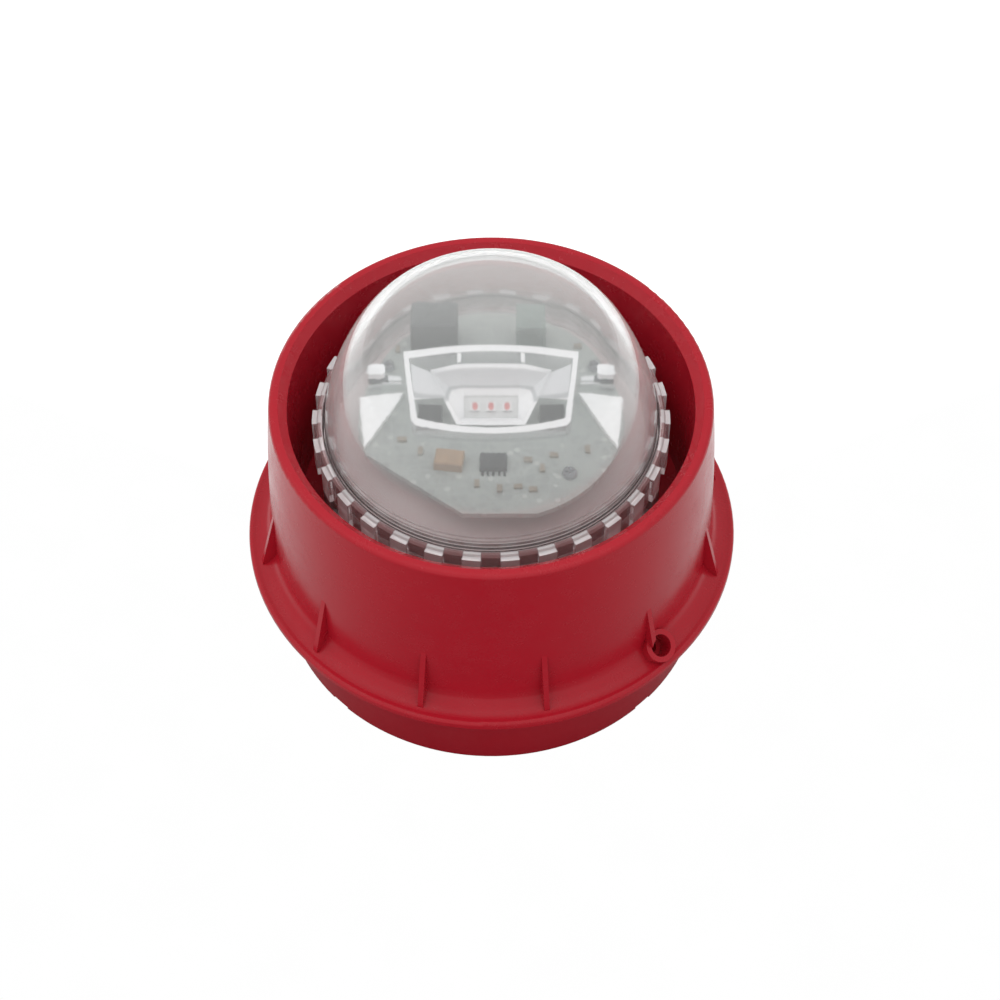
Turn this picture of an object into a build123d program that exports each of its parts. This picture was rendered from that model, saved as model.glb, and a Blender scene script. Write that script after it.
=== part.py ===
from build123d import *
import math
import os

# Wall sounder beacon ("horn strobe"): a mounting base, and a head that twists onto it.
# Millimetres. +Z points out of the wall, -Y is the side the light source faces, and the
# origin is the centre of the mounting base's back face.

# ---------------------------------------------------------------- driving dimensions
FLANGE_R = 60.5           # head flange, the widest part
FLANGE_UNDER = 24.0       # underside of the flange
FLANGE_LIP = 26.3         # top of the flange's lip
COVE_END_R = 58.8         # where the cove meets the flat lip
WALL_FOOT_Z = 31.4        # where the cove leaves the cup wall
WALL_FOOT_R = 54.25
WALL_MID_R = 53.75        # the wall bulges slightly half-way up
WALL_MID_Z = 52.0
WALL_TOP_R = 52.3
RIM_Z = 74.0              # top of the cup
RIM_ROUND = 1.2
RIM_INNER_R = 50.0        # start of the rim's inner chamfer
CUP_INNER_R = 48.0        # inner face just under the rim
CUP_FLOOR_R = 47.4        # inner face at the floor
CUP_FLOOR = 33.0          # floor of the ring-shaped sound duct
CUP_FLOOR_T = 3.0
FLOOR_HOLE_R = 33.0

RIB_COUNT = 12
RIB_FIRST = 13.2          # first rib, degrees from +X
RIB_T = 1.3
RIB_TOP_Z = 44.5
RIB_FOOT_R = 58.0

BASE_R = 53.1             # mounting base at the wall
BASE_TOP_R = 52.9
BASE_H = 23.7
BASE_FLOOR = 2.6
BASE_INNER_R = 49.4

SKIRT_OUT = 47.0          # head skirt that carries the bayonet lugs
SKIRT_IN = 45.0
SKIRT_LOW = 14.0
LUG_ANGLE = 16.0          # width of a head lug, degrees
LUG_MIDDLE = 30.0         # first lug, degrees from +X
LUG_H = 2.7

BOSS_AXIS_TILT = 40.0     # lock-screw boss leans out from +Z by this much
BOSS_ANGLE = -45.0        # its place round the flange, degrees from +X
BOSS_MOUTH_R = 57.3
BOSS_MOUTH_Z = 30.2
BOSS_R = 4.0
LOCK_HOLE_R = 2.7

CHASSIS_R = 41.0          # tower inside the cup, which carries sounder and beacon
CHASSIS_IN = 38.8
CHASSIS_LOW = 33.8
DECK_Z = 60.0             # top face of the tower's deck
DECK_T = 2.0
NECK_R = 40.4             # tower's neck under the lens ring

LENS_FOOT_R = 39.4        # clear dome
LENS_TOP = 98.4
LENS_WALL = 1.9
LENS_FOOT_Z = 60.8
LENS_COLLAR_TOP = 67.0    # where the dome's straight foot ends
LENS_PROFILE = (          # points (radius, Z) up the dome's outside
    (38.2, 74.9),
    (35.1, 83.7),
    (31.4, 90.8),
    (26.5, 95.7),
    (18.3, 98.0),
)
LENS_INNER_PROFILE = (    # the same points, one wall thickness in
    (36.4, 74.4),
    (33.4, 82.9),
    (29.85, 89.7),
    (25.5, 94.1),
    (17.9, 96.15),
)
RING_GAP = 0.35           # groove between the dome and the ring
RING_R = 41.4             # clear castellated ring
RING_TOOTH_R = 42.4
RING_TOP = 67.0
RING_BEVEL = 0.5
RING_TEETH = 30

STROBE_Z = 66.4           # underside of the beacon's circuit board
STROBE_TOP = 68.0
BOARD_T = 1.6
STROBE_R = 31.2

MAIN_Z = 31.0             # underside of the main circuit board
MAIN_TOP = 32.6
MAIN_R = 32.2
COVER_Z = 25.4            # outer face of the rear cover
COVER_TOP = 27.4

WAYS = 6                  # terminals
WAY_PITCH = 7.0
TERMINAL_Y = 18.0         # row in which blades meet springs

os.makedirs("parts", exist_ok=True)


# ---------------------------------------------------------------- helpers
def ring_sectors(inner, outer, count, middle, width):
    """Equal pieces of a flat ring; middle and width are angles in degrees."""
    reach = outer * 1.5
    half = reach * math.tan(math.radians(width / 2))
    with BuildSketch() as sectors:
        with PolarLocations(0, count, start_angle=middle):
            Polygon((0, 0), (reach, -half), (reach, half), align=None)
        Circle(outer, mode=Mode.INTERSECT)
        Circle(inner, mode=Mode.SUBTRACT)
    return sectors.sketch


def pan_screw(shank_r, length, head_r, head_h):
    """Pan-head screw, its head above Z = 0 and its shank below, with a cross recess."""
    with BuildPart() as screw:
        Cylinder(shank_r, length, align=(Align.CENTER, Align.CENTER, Align.MAX))
        Cylinder(head_r, head_h, align=(Align.CENTER, Align.CENTER, Align.MIN))
        fillet(screw.edges().filter_by(GeomType.CIRCLE).group_by(Axis.Z)[-1], head_h * 0.45)
        with Locations((0, 0, head_h)):
            Box(head_r * 1.25, head_r * 0.26, head_h, mode=Mode.SUBTRACT)
            Box(head_r * 0.26, head_r * 1.25, head_h, mode=Mode.SUBTRACT)
    return screw.part


def polar_points(radius, angles):
    """Points on a circle at the given angles in degrees."""
    return [
        (radius * math.cos(math.radians(a)), radius * math.sin(math.radians(a)))
        for a in angles
    ]


def tilted_axis_plane():
    """Plane at the lock-screw boss's mouth, its normal along the hole, pointing out."""
    turn = math.radians(BOSS_ANGLE)
    tilt = math.radians(BOSS_AXIS_TILT)
    mouth = (BOSS_MOUTH_R * math.cos(turn), BOSS_MOUTH_R * math.sin(turn), BOSS_MOUTH_Z)
    along = (
        math.sin(tilt) * math.cos(turn),
        math.sin(tilt) * math.sin(turn),
        math.cos(tilt),
    )
    return Plane(origin=mouth, z_dir=along)


BOSS_PLANE = tilted_axis_plane()
CHASSIS_SCREWS = polar_points(36.0, (15, 105, 195, 285))
COVER_SCREWS = polar_points(41.2, (60, 150, 240, 330))
BOARD_POSTS = polar_points(28.6, (0, 130, 230))
BAFFLE_SCREWS = polar_points(34.6, (30, 150, 270))
STROBE_SCREWS = ((18.0, -18.0), (-25.0, 14.0), (25.0, 14.0))
WAY_X = [WAY_PITCH * (i - (WAYS - 1) / 2) for i in range(WAYS)]
LINK_Y = 30.0             # pin header that joins the two boards
BOARD_SHANK_R = 0.9       # screws that hold the two circuit boards
BAFFLE_SHANK_R = 1.0

# ================================================================ mounting base
BASE_LUG_ANGLE = LUG_ANGLE + 2
BASE_LUG_LOW = SKIRT_LOW + LUG_H + 0.3
CABLE_R = 9.0
CABLE_Y = -4.0
SLOT_AT = 30.0
SLOT_L = 12.0
SLOT_R = 2.25
BLOCK_SCREW_X = 25.4
BLOCK_SCREW_Y = 16.0
BLOCK_TAB_Z = 4.6
BASE_EDGE_ROUND = 0.8
BASE_LUG_IN = SKIRT_OUT + 0.4
BASE_LUG_H = 2.4
STOP_W = 3.0              # end stop at the clockwise end of each lug, degrees
STOP_FROM_MIDDLE = 10.2
COLLAR_T = 1.8            # wall and height of the collar round the cable entry
COLLAR_H = 1.4
BLOCK_BOSS_R = 2.9
FLOOR_RIB_AT = 41.5
FLOOR_RIB = (14.0, 1.4)
FLOOR_RIB_H = 4.0
BLOCK_PILOT_R = 1.2
BLOCK_PILOT_DEEP = 3.8
DRIP_SLOT = (7.0, 5.0)
DRIP_SLOT_DEEP = 1.2
TIP_POCKET_R = 1.5        # pocket in the base's rim that the lock screw's tip enters
TIP_POCKET_AT = -7.8
TIP_POCKET_DEEP = 3.0

with BuildPart() as mounting_base:
    with BuildSketch(Plane.XZ):
        with BuildLine():
            Polyline(
                (0, 0),
                (BASE_R, 0),
                (BASE_TOP_R, BASE_H),
                (BASE_INNER_R, BASE_H),
                (BASE_INNER_R, BASE_FLOOR),
                (0, BASE_FLOOR),
                close=True,
            )
        make_face()
    revolve(axis=Axis.Z)
    fillet(mounting_base.edges().filter_by(GeomType.CIRCLE).group_by(Axis.Z)[0], BASE_EDGE_ROUND)
    # bayonet: three lugs on the wall, each with an end stop
    with BuildSketch(Plane.XY.offset(BASE_LUG_LOW)):
        add(ring_sectors(BASE_LUG_IN, BASE_INNER_R + 1, 3, LUG_MIDDLE, BASE_LUG_ANGLE))
    extrude(amount=BASE_LUG_H)
    with BuildSketch(Plane.XY.offset(BASE_FLOOR)):
        add(ring_sectors(BASE_LUG_IN, BASE_INNER_R + 1, 3, LUG_MIDDLE - STOP_FROM_MIDDLE, STOP_W))
    extrude(amount=BASE_LUG_LOW + BASE_LUG_H - BASE_FLOOR)
    # raised collar round the cable entry, and bosses for the terminal block's screws
    with BuildSketch(Plane.XY.offset(BASE_FLOOR)):
        with Locations((0, CABLE_Y)):
            Circle(CABLE_R + COLLAR_T)
    extrude(amount=COLLAR_H)
    with BuildSketch(Plane.XY.offset(BASE_FLOOR)):
        with Locations((BLOCK_SCREW_X, BLOCK_SCREW_Y), (-BLOCK_SCREW_X, BLOCK_SCREW_Y)):
            Circle(BLOCK_BOSS_R)
    extrude(amount=BLOCK_TAB_Z - BASE_FLOOR)
    # stiffening ribs on the floor
    with BuildSketch(Plane.XY.offset(BASE_FLOOR)):
        with PolarLocations(FLOOR_RIB_AT, 4, start_angle=45):
            Rectangle(*FLOOR_RIB)
    extrude(amount=FLOOR_RIB_H)
    # cable entry, wall fixing slots, pilot holes
    with BuildSketch(Plane.XY.offset(-1)):
        with Locations((0, CABLE_Y)):
            Circle(CABLE_R)
        with PolarLocations(SLOT_AT, 4):
            SlotOverall(SLOT_L, SLOT_R * 2)
    extrude(amount=BASE_H, mode=Mode.SUBTRACT)
    with Locations(
        (BLOCK_SCREW_X, BLOCK_SCREW_Y, BLOCK_TAB_Z),
        (-BLOCK_SCREW_X, BLOCK_SCREW_Y, BLOCK_TAB_Z),
    ):
        Hole(BLOCK_PILOT_R, depth=BLOCK_PILOT_DEEP)
    # drip slots round the foot of the back face
    with BuildSketch():
        with PolarLocations(BASE_R, 4, start_angle=45):
            Rectangle(*DRIP_SLOT)
    extrude(amount=DRIP_SLOT_DEEP, mode=Mode.SUBTRACT)
    # pocket in the rim that the lock screw's tip enters
    with BuildSketch(BOSS_PLANE.offset(TIP_POCKET_AT)):
        Circle(TIP_POCKET_R)
    extrude(amount=-TIP_POCKET_DEEP, mode=Mode.SUBTRACT)

# ---------------------------------------------------------------- terminals in the base
BLOCK_TOP = 10.4
BLOCK_W = WAYS * WAY_PITCH + 2.4
BLOCK_D = 13.0
BLOCK_TAB = (2 * BLOCK_SCREW_X + 6.0, 6.0)
BLOCK_TAB_T = 2.0
BLOCK_TAB_TOP = BLOCK_TAB_Z + BLOCK_TAB_T
BLOCK_SCREW_R = 1.2
BLOCK_HOLE_R = 1.6
CLAMP_Y = 13.2
CLAMP_LOW = BASE_FLOOR + 1.4
CLAMP_SIDE = 4.8
CLAMP_H = 5.2
CLAMP_TOP = CLAMP_LOW + CLAMP_H
CLAMP_PLAY = 0.2
CLAMP_HOLE_R = 1.45
CLAMP_MOUTH = (3.2, 3.0)  # wire mouth through the clamp
CLAMP_MOUTH_Z = 6.4
BLOCK_MOUTH = 3.6         # square wire mouth in the block's front
BLOCK_MOUTH_Z = 6.6
BLOCK_MOUTH_Y = 8.0
BLOCK_MOUTH_DEEP = 4.0
CLAMP_MOUTH_DEEP = 10.0
SPRING_W = 3.6

with BuildPart() as terminal_block:
    with BuildSketch(Plane.XY.offset(BASE_FLOOR)):
        with Locations((0, BLOCK_SCREW_Y)):
            Rectangle(BLOCK_W, BLOCK_D)
    extrude(amount=BLOCK_TOP - BASE_FLOOR)
    with BuildSketch(Plane.XY.offset(BLOCK_TAB_Z)):
        with Locations((0, BLOCK_SCREW_Y)):
            Rectangle(*BLOCK_TAB)
    extrude(amount=BLOCK_TAB_T)
    # clamp pockets, open at the top, and wire mouths on the -Y side
    with BuildSketch(Plane.XY.offset(CLAMP_LOW)):
        with Locations(*[(x, CLAMP_Y) for x in WAY_X]):
            Rectangle(CLAMP_SIDE + CLAMP_PLAY, CLAMP_SIDE + CLAMP_PLAY)
    extrude(amount=BLOCK_TOP, mode=Mode.SUBTRACT)
    with BuildSketch(Plane.XZ.offset(-BLOCK_MOUTH_Y)):
        with Locations(*[(x, BLOCK_MOUTH_Z) for x in WAY_X]):
            Rectangle(BLOCK_MOUTH, BLOCK_MOUTH)
    extrude(amount=-BLOCK_MOUTH_DEEP, mode=Mode.SUBTRACT)
    with Locations(
        (BLOCK_SCREW_X, BLOCK_SCREW_Y, BLOCK_TAB_TOP),
        (-BLOCK_SCREW_X, BLOCK_SCREW_Y, BLOCK_TAB_TOP),
    ):
        Hole(BLOCK_HOLE_R, depth=BLOCK_TAB_T)

with BuildPart() as terminal_clamps:
    with BuildSketch(Plane.XY.offset(CLAMP_LOW)):
        with Locations(*[(x, CLAMP_Y) for x in WAY_X]):
            Rectangle(CLAMP_SIDE, CLAMP_SIDE)
    extrude(amount=CLAMP_H)
    with BuildSketch(Plane.XZ.offset(-BLOCK_MOUTH_Y)):
        with Locations(*[(x, CLAMP_MOUTH_Z) for x in WAY_X]):
            Rectangle(*CLAMP_MOUTH)
    extrude(amount=-CLAMP_MOUTH_DEEP, mode=Mode.SUBTRACT)
    with Locations(*[(x, CLAMP_Y, CLAMP_TOP) for x in WAY_X]):
        Hole(CLAMP_HOLE_R, depth=CLAMP_TOP - CLAMP_MOUTH_Z - CLAMP_MOUTH[1] / 2 + 0.1)

terminal_screw = pan_screw(1.4, 2.4, 2.1, 1.1)
with BuildPart() as terminal_screws:
    with Locations(*[(x, CLAMP_Y, CLAMP_TOP) for x in WAY_X]):
        add(terminal_screw)

with BuildPart() as contact_springs:
    for x in WAY_X:
        with BuildSketch(Plane.YZ.offset(x - SPRING_W / 2)):
            with BuildLine():
                Polyline(
                    (16.2, BLOCK_TOP),
                    (22.0, BLOCK_TOP),
                    (22.0, BLOCK_TOP + 0.4),
                    (20.4, BLOCK_TOP + 0.5),
                    (18.6, BLOCK_TOP + 1.8),
                    (17.4, BLOCK_TOP + 1.8),
                    (16.2, BLOCK_TOP + 0.9),
                    (16.5, BLOCK_TOP + 0.6),
                    (17.5, BLOCK_TOP + 1.4),
                    (18.4, BLOCK_TOP + 1.4),
                    (19.4, BLOCK_TOP + 0.4),
                    (16.2, BLOCK_TOP + 0.4),
                    close=True,
                )
            make_face()
        extrude(amount=SPRING_W)

block_screw = pan_screw(BLOCK_SCREW_R, 5.4, 2.4, 1.6)
with BuildPart() as block_screws:
    with Locations(
        (BLOCK_SCREW_X, BLOCK_SCREW_Y, BLOCK_TAB_TOP),
        (-BLOCK_SCREW_X, BLOCK_SCREW_Y, BLOCK_TAB_TOP),
    ):
        add(block_screw)

# ================================================================ sounder housing (head)
RIM_OUT = (WALL_TOP_R, RIM_Z - RIM_ROUND)
LIP_ROUND = 0.9
FLANGE_EDGE = 0.5
COVE_BULGE = (1.35, 1.55)     # the cove's middle, out from the wall's foot and up from the lip
FLOOR_UNDER = CUP_FLOOR - CUP_FLOOR_T
RIM_CHAMFER_H = 2.0
OUTER_SKIN_IN = 51.9          # hollow between the two skins
OUTER_SKIN_TOP_IN = 51.0
INNER_SKIN_OUT = 49.5
INNER_SKIN_TOP_OUT = 49.8
HOLLOW_SHOULDER = 34.0
HOLLOW_TOP = 60.0
RIB_ROOT = 0.9                # how far a rib reaches into the wall
RIB_SINK = 0.5                # and into the flange
BOSS_H = 4.6
LOCK_MOUTH_OVER = 3.0         # the tool's way is cleared this far above the boss
LOCK_HOLE_DEEP = 8.0
LOCK_SHANK_R = 1.6
LOCK_SHANK_DEEP = 11.0
COVER_BOSS_R = 2.8
COVER_PILOT_R = 1.1
COVER_PILOT_DEEP = 4.6
CHASSIS_HOLE_R = 1.6
CHASSIS_HEAD_R = 2.9
CHASSIS_HEAD_DEEP = 1.2

with BuildPart() as sounder_housing:
    with BuildSketch(Plane.XZ):
        with BuildLine():
            Line((FLOOR_HOLE_R, FLOOR_UNDER), (FLOOR_HOLE_R, CUP_FLOOR))
            Line((FLOOR_HOLE_R, CUP_FLOOR), (CUP_FLOOR_R, CUP_FLOOR))
            Line((CUP_FLOOR_R, CUP_FLOOR), (CUP_INNER_R, RIM_Z - RIM_CHAMFER_H))
            Line((CUP_INNER_R, RIM_Z - RIM_CHAMFER_H), (RIM_INNER_R, RIM_Z))
            Line((RIM_INNER_R, RIM_Z), (WALL_TOP_R - RIM_ROUND, RIM_Z))
            RadiusArc((WALL_TOP_R - RIM_ROUND, RIM_Z), RIM_OUT, RIM_ROUND)
            ThreePointArc(RIM_OUT, (WALL_MID_R, WALL_MID_Z), (WALL_FOOT_R, WALL_FOOT_Z))
            ThreePointArc(
                (WALL_FOOT_R, WALL_FOOT_Z),
                (WALL_FOOT_R + COVE_BULGE[0], FLANGE_LIP + COVE_BULGE[1]),
                (COVE_END_R, FLANGE_LIP),
            )
            Line((COVE_END_R, FLANGE_LIP), (FLANGE_R - LIP_ROUND, FLANGE_LIP))
            RadiusArc(
                (FLANGE_R - LIP_ROUND, FLANGE_LIP),
                (FLANGE_R, FLANGE_LIP - LIP_ROUND),
                LIP_ROUND,
            )
            Line((FLANGE_R, FLANGE_LIP - LIP_ROUND), (FLANGE_R, FLANGE_UNDER + FLANGE_EDGE))
            Line((FLANGE_R, FLANGE_UNDER + FLANGE_EDGE), (FLANGE_R - FLANGE_EDGE, FLANGE_UNDER))
            Line((FLANGE_R - FLANGE_EDGE, FLANGE_UNDER), (OUTER_SKIN_IN, FLANGE_UNDER))
            # hollow between the outer and the inner skin, open at the underside
            Polyline(
                (OUTER_SKIN_IN, FLANGE_UNDER),
                (OUTER_SKIN_IN, HOLLOW_SHOULDER),
                (OUTER_SKIN_TOP_IN, HOLLOW_TOP),
                (INNER_SKIN_TOP_OUT, HOLLOW_TOP),
                (INNER_SKIN_OUT, FLANGE_UNDER),
                (SKIRT_OUT, FLANGE_UNDER),
                (SKIRT_OUT, SKIRT_LOW),
                (SKIRT_IN, SKIRT_LOW),
                (SKIRT_IN, FLOOR_UNDER),
                (FLOOR_HOLE_R, FLOOR_UNDER),
            )
        make_face()
    revolve(axis=Axis.Z)
    # bayonet lugs on the skirt
    with BuildSketch(Plane.XY.offset(SKIRT_LOW)):
        add(ring_sectors(SKIRT_OUT - 0.5, BASE_INNER_R - 0.3, 3, LUG_MIDDLE, LUG_ANGLE))
    extrude(amount=LUG_H)
    # triangular ribs between the wall and the flange
    for turn in range(RIB_COUNT):
        rib_plane = Plane.XZ.rotated((0, 0, RIB_FIRST + 360 / RIB_COUNT * turn))
        with BuildSketch(rib_plane):
            with BuildLine():
                Polyline(
                    (WALL_MID_R - RIB_ROOT, FLANGE_LIP - RIB_SINK),
                    (RIB_FOOT_R, FLANGE_LIP - RIB_SINK),
                    (RIB_FOOT_R, FLANGE_LIP + RIB_SINK),
                    (WALL_MID_R + 0.1, RIB_TOP_Z),
                    (WALL_MID_R - RIB_ROOT, RIB_TOP_Z),
                    close=True,
                )
            make_face()
        extrude(amount=RIB_T / 2, both=True)
    # lock-screw boss
    with BuildSketch(BOSS_PLANE):
        Circle(BOSS_R)
    extrude(amount=-BOSS_H)
    with BuildSketch(BOSS_PLANE.offset(LOCK_MOUTH_OVER)):
        Circle(LOCK_HOLE_R)
    extrude(amount=-LOCK_HOLE_DEEP, mode=Mode.SUBTRACT)
    with BuildSketch(BOSS_PLANE):
        Circle(LOCK_SHANK_R)
    extrude(amount=-LOCK_SHANK_DEEP, mode=Mode.SUBTRACT)
    # screw bosses under the floor for the rear cover, and holes for the chassis screws
    with BuildSketch(Plane.XY.offset(COVER_TOP)):
        with Locations(*COVER_SCREWS):
            Circle(COVER_BOSS_R)
    extrude(amount=FLOOR_UNDER - COVER_TOP + 1)
    with BuildSketch(Plane.XY.offset(COVER_TOP)):
        with Locations(*COVER_SCREWS):
            Circle(COVER_PILOT_R)
    extrude(amount=COVER_PILOT_DEEP, mode=Mode.SUBTRACT)
    with BuildSketch(Plane.XY.offset(FLOOR_UNDER)):
        with Locations(*CHASSIS_SCREWS):
            Circle(CHASSIS_HOLE_R)
    extrude(amount=CUP_FLOOR_T, mode=Mode.SUBTRACT)
    with BuildSketch(Plane.XY.offset(FLOOR_UNDER)):
        with Locations(*CHASSIS_SCREWS):
            Circle(CHASSIS_HEAD_R)
    extrude(amount=CHASSIS_HEAD_DEEP, mode=Mode.SUBTRACT)

BASE_SEAL_R = 1.0
BASE_SEAL_Z = 21.8

with BuildPart() as base_seal:
    with BuildSketch(Plane.XZ):
        with Locations((SKIRT_OUT + BASE_SEAL_R, BASE_SEAL_Z)):
            Circle(BASE_SEAL_R)
    revolve(axis=Axis.Z)

# ---------------------------------------------------------------- chassis tower
NECK_LOW = 57.5
SEAL_R = 38.8
SEAL_THICK_R = 0.8
WINDOW_LOW = 50.0
WINDOW_H = 6.0
WINDOW_COUNT = 12
WINDOW_W = 17.0           # degrees
FOOT_BOSS_R = 3.0         # bosses for the screws from below
FOOT_BOSS_H = 9.0
FOOT_PILOT_R = 1.25
FOOT_PILOT_DEEP = 8.0
BAFFLE_BOSS_R = 2.8
BAFFLE_BOSS_LOW = 48.0
BAFFLE_PILOT_DEEP = 7.0
POST_R = 2.4              # posts for the beacon's board
POST_PILOT_DEEP = 5.0
LINK_SLOT = (12.0, 3.4)   # the board link's way through deck and baffle
GASKET_EYE_R = 2.9
GASKET_HOLE_R = 1.7
GASKET_INSET = 0.1

with BuildPart() as sound_chassis:
    with BuildSketch(Plane.XZ):
        with BuildLine():
            Polyline(
                (CHASSIS_IN, CHASSIS_LOW),
                (CHASSIS_R, CHASSIS_LOW),
                (CHASSIS_R, NECK_LOW),
                (NECK_R, NECK_LOW),
                (NECK_R, DECK_Z),
                (0, DECK_Z),
                (0, DECK_Z - DECK_T),
                (CHASSIS_IN, DECK_Z - DECK_T),
                close=True,
            )
        make_face()
    revolve(axis=Axis.Z)
    # bosses for the screws from below, bosses for the baffle, posts for the beacon board
    with BuildSketch(Plane.XY.offset(CHASSIS_LOW)):
        with Locations(*CHASSIS_SCREWS):
            Circle(FOOT_BOSS_R)
    extrude(amount=FOOT_BOSS_H)
    with BuildSketch(Plane.XY.offset(BAFFLE_BOSS_LOW)):
        with Locations(*BAFFLE_SCREWS):
            Circle(BAFFLE_BOSS_R)
    extrude(amount=DECK_Z - DECK_T - BAFFLE_BOSS_LOW + 0.5)
    with BuildSketch(Plane.XY.offset(DECK_Z)):
        with Locations(*STROBE_SCREWS):
            Circle(POST_R)
    extrude(amount=STROBE_Z - DECK_Z)
    with BuildSketch(Plane.XY.offset(CHASSIS_LOW)):
        with Locations(*CHASSIS_SCREWS):
            Circle(FOOT_PILOT_R)
    extrude(amount=FOOT_PILOT_DEEP, mode=Mode.SUBTRACT)
    with BuildSketch(Plane.XY.offset(BAFFLE_BOSS_LOW)):
        with Locations(*BAFFLE_SCREWS):
            Circle(BAFFLE_SHANK_R)
    extrude(amount=BAFFLE_PILOT_DEEP, mode=Mode.SUBTRACT)
    with Locations(*[(x, y, STROBE_Z) for x, y in STROBE_SCREWS]):
        Hole(BOARD_SHANK_R, depth=POST_PILOT_DEEP)
    # sound windows into the duct, seal groove, slot for the board link
    with BuildSketch(Plane.XY.offset(WINDOW_LOW)):
        add(ring_sectors(CHASSIS_IN - 0.6, CHASSIS_R + 1, WINDOW_COUNT, 0, WINDOW_W))
    extrude(amount=WINDOW_H, mode=Mode.SUBTRACT)
    with BuildSketch(Plane.XY.offset(DECK_Z - SEAL_THICK_R)):
        Circle(SEAL_R + SEAL_THICK_R + 0.05)
        Circle(SEAL_R - SEAL_THICK_R - 0.05, mode=Mode.SUBTRACT)
    extrude(amount=SEAL_THICK_R, mode=Mode.SUBTRACT)
    with BuildSketch(Plane.XY.offset(DECK_Z - DECK_T)):
        with Locations((0, LINK_Y)):
            Rectangle(*LINK_SLOT)
    extrude(amount=DECK_T, mode=Mode.SUBTRACT)

with BuildPart() as chassis_gasket:
    with BuildSketch(Plane.XY.offset(CUP_FLOOR)):
        Circle(CHASSIS_R - GASKET_INSET)
        Circle(CHASSIS_IN + GASKET_INSET, mode=Mode.SUBTRACT)
        with Locations(*CHASSIS_SCREWS):
            Circle(GASKET_EYE_R)
        with Locations(*CHASSIS_SCREWS):
            Circle(GASKET_HOLE_R, mode=Mode.SUBTRACT)
    extrude(amount=CHASSIS_LOW - CUP_FLOOR)

chassis_screw = pan_screw(FOOT_PILOT_R, 9.0, 2.6, 1.8)
with BuildPart() as chassis_screws:
    with Locations(*[Location((x, y, FLOOR_UNDER + CHASSIS_HEAD_DEEP), (180, 0, 0)) for x, y in CHASSIS_SCREWS]):
        add(chassis_screw)

# ---------------------------------------------------------------- rear cover and contacts
BLADE_LOW = BLOCK_TOP + 2.1
BLADE_W = 4.0
BLADE_T = 0.8
TENS_X = -15.0            # address switches and option switch, on the main board's underside
UNITS_X = -2.5
SWITCH_Y = -13.0
OPTION_X = 13.0
SWITCH_SIDE = 10.0
SWITCH_LOW = 26.4
OPTION_W = 11.6
OPTION_D = 6.4
SWITCH_PLAY = 0.6         # play round a switch in its window
COVER_PLAY = 0.4
COVER_POST_R = 2.6
TOWER_LOW = 15.4          # tower that carries the contact blades down to the terminals
TOWER = (WAYS * WAY_PITCH + 1.0, 6.0)
TOWER_CORNER = 1.0
FINGER_RIB = (34.0, 2.4)
FINGER_RIB_Y = -29.0
FINGER_RIB_H = 2.6
FINGER_RIB_CORNER = 0.8
BLADE_SLOT_LOW = 12.0
BLADE_SLOT_H = 16.0
BLADE_CHAMFER = 0.25
COVER_HOLE_R = 1.5
POST_PILOT = 4.6
MAIN_HOLE_R = 1.3

with BuildPart() as rear_cover:
    with BuildSketch(Plane.XY.offset(COVER_Z)):
        Circle(SKIRT_IN - COVER_PLAY)
    extrude(amount=COVER_TOP - COVER_Z)
    with BuildSketch(Plane.XY.offset(COVER_TOP)):
        with Locations(*BOARD_POSTS):
            Circle(COVER_POST_R)
    extrude(amount=MAIN_Z - COVER_TOP)
    with BuildSketch(Plane.XY.offset(TOWER_LOW)):
        with Locations((0, TERMINAL_Y)):
            RectangleRounded(*TOWER, TOWER_CORNER)
    extrude(amount=COVER_Z - TOWER_LOW)
    # finger rib across the back
    with BuildSketch(Plane.XY.offset(COVER_Z - FINGER_RIB_H)):
        with Locations((0, FINGER_RIB_Y)):
            RectangleRounded(*FINGER_RIB, FINGER_RIB_CORNER)
    extrude(amount=FINGER_RIB_H)
    # blade slots, switch windows, screw holes
    with BuildSketch(Plane.XY.offset(BLADE_SLOT_LOW)):
        with Locations(*[(x, TERMINAL_Y) for x in WAY_X]):
            Rectangle(BLADE_W, BLADE_T)
    extrude(amount=BLADE_SLOT_H, mode=Mode.SUBTRACT)
    with BuildSketch(Plane.XY.offset(COVER_Z)):
        with Locations((TENS_X, SWITCH_Y), (UNITS_X, SWITCH_Y)):
            Rectangle(SWITCH_SIDE + SWITCH_PLAY, SWITCH_SIDE + SWITCH_PLAY)
        with Locations((OPTION_X, SWITCH_Y)):
            Rectangle(OPTION_W + SWITCH_PLAY, OPTION_D + SWITCH_PLAY)
        with Locations(*COVER_SCREWS):
            Circle(COVER_HOLE_R)
    extrude(amount=COVER_TOP - COVER_Z, mode=Mode.SUBTRACT)
    with BuildSketch(Plane.XY.offset(MAIN_Z)):
        with Locations(*BOARD_POSTS):
            Circle(BOARD_SHANK_R)
    extrude(amount=-POST_PILOT, mode=Mode.SUBTRACT)

cover_screw = pan_screw(COVER_PILOT_R, 6.0, 2.4, 1.5)
with BuildPart() as cover_screws:
    with Locations(*[Location((x, y, COVER_Z), (180, 0, 0)) for x, y in COVER_SCREWS]):
        add(cover_screw)

with BuildPart() as contact_blades:
    with BuildSketch(Plane.XY.offset(BLADE_LOW)):
        with Locations(*[(x, TERMINAL_Y) for x in WAY_X]):
            Rectangle(BLADE_W, BLADE_T)
    extrude(amount=MAIN_Z - BLADE_LOW)
    chamfer(contact_blades.edges().filter_by(Axis.X).group_by(Axis.Z)[0], BLADE_CHAMFER)

# ---------------------------------------------------------------- main board and parts
with BuildPart() as main_board:
    with BuildSketch(Plane.XY.offset(MAIN_Z)):
        Circle(MAIN_R)
        with Locations(*BOARD_POSTS):
            Circle(MAIN_HOLE_R, mode=Mode.SUBTRACT)
    extrude(amount=BOARD_T)

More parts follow.
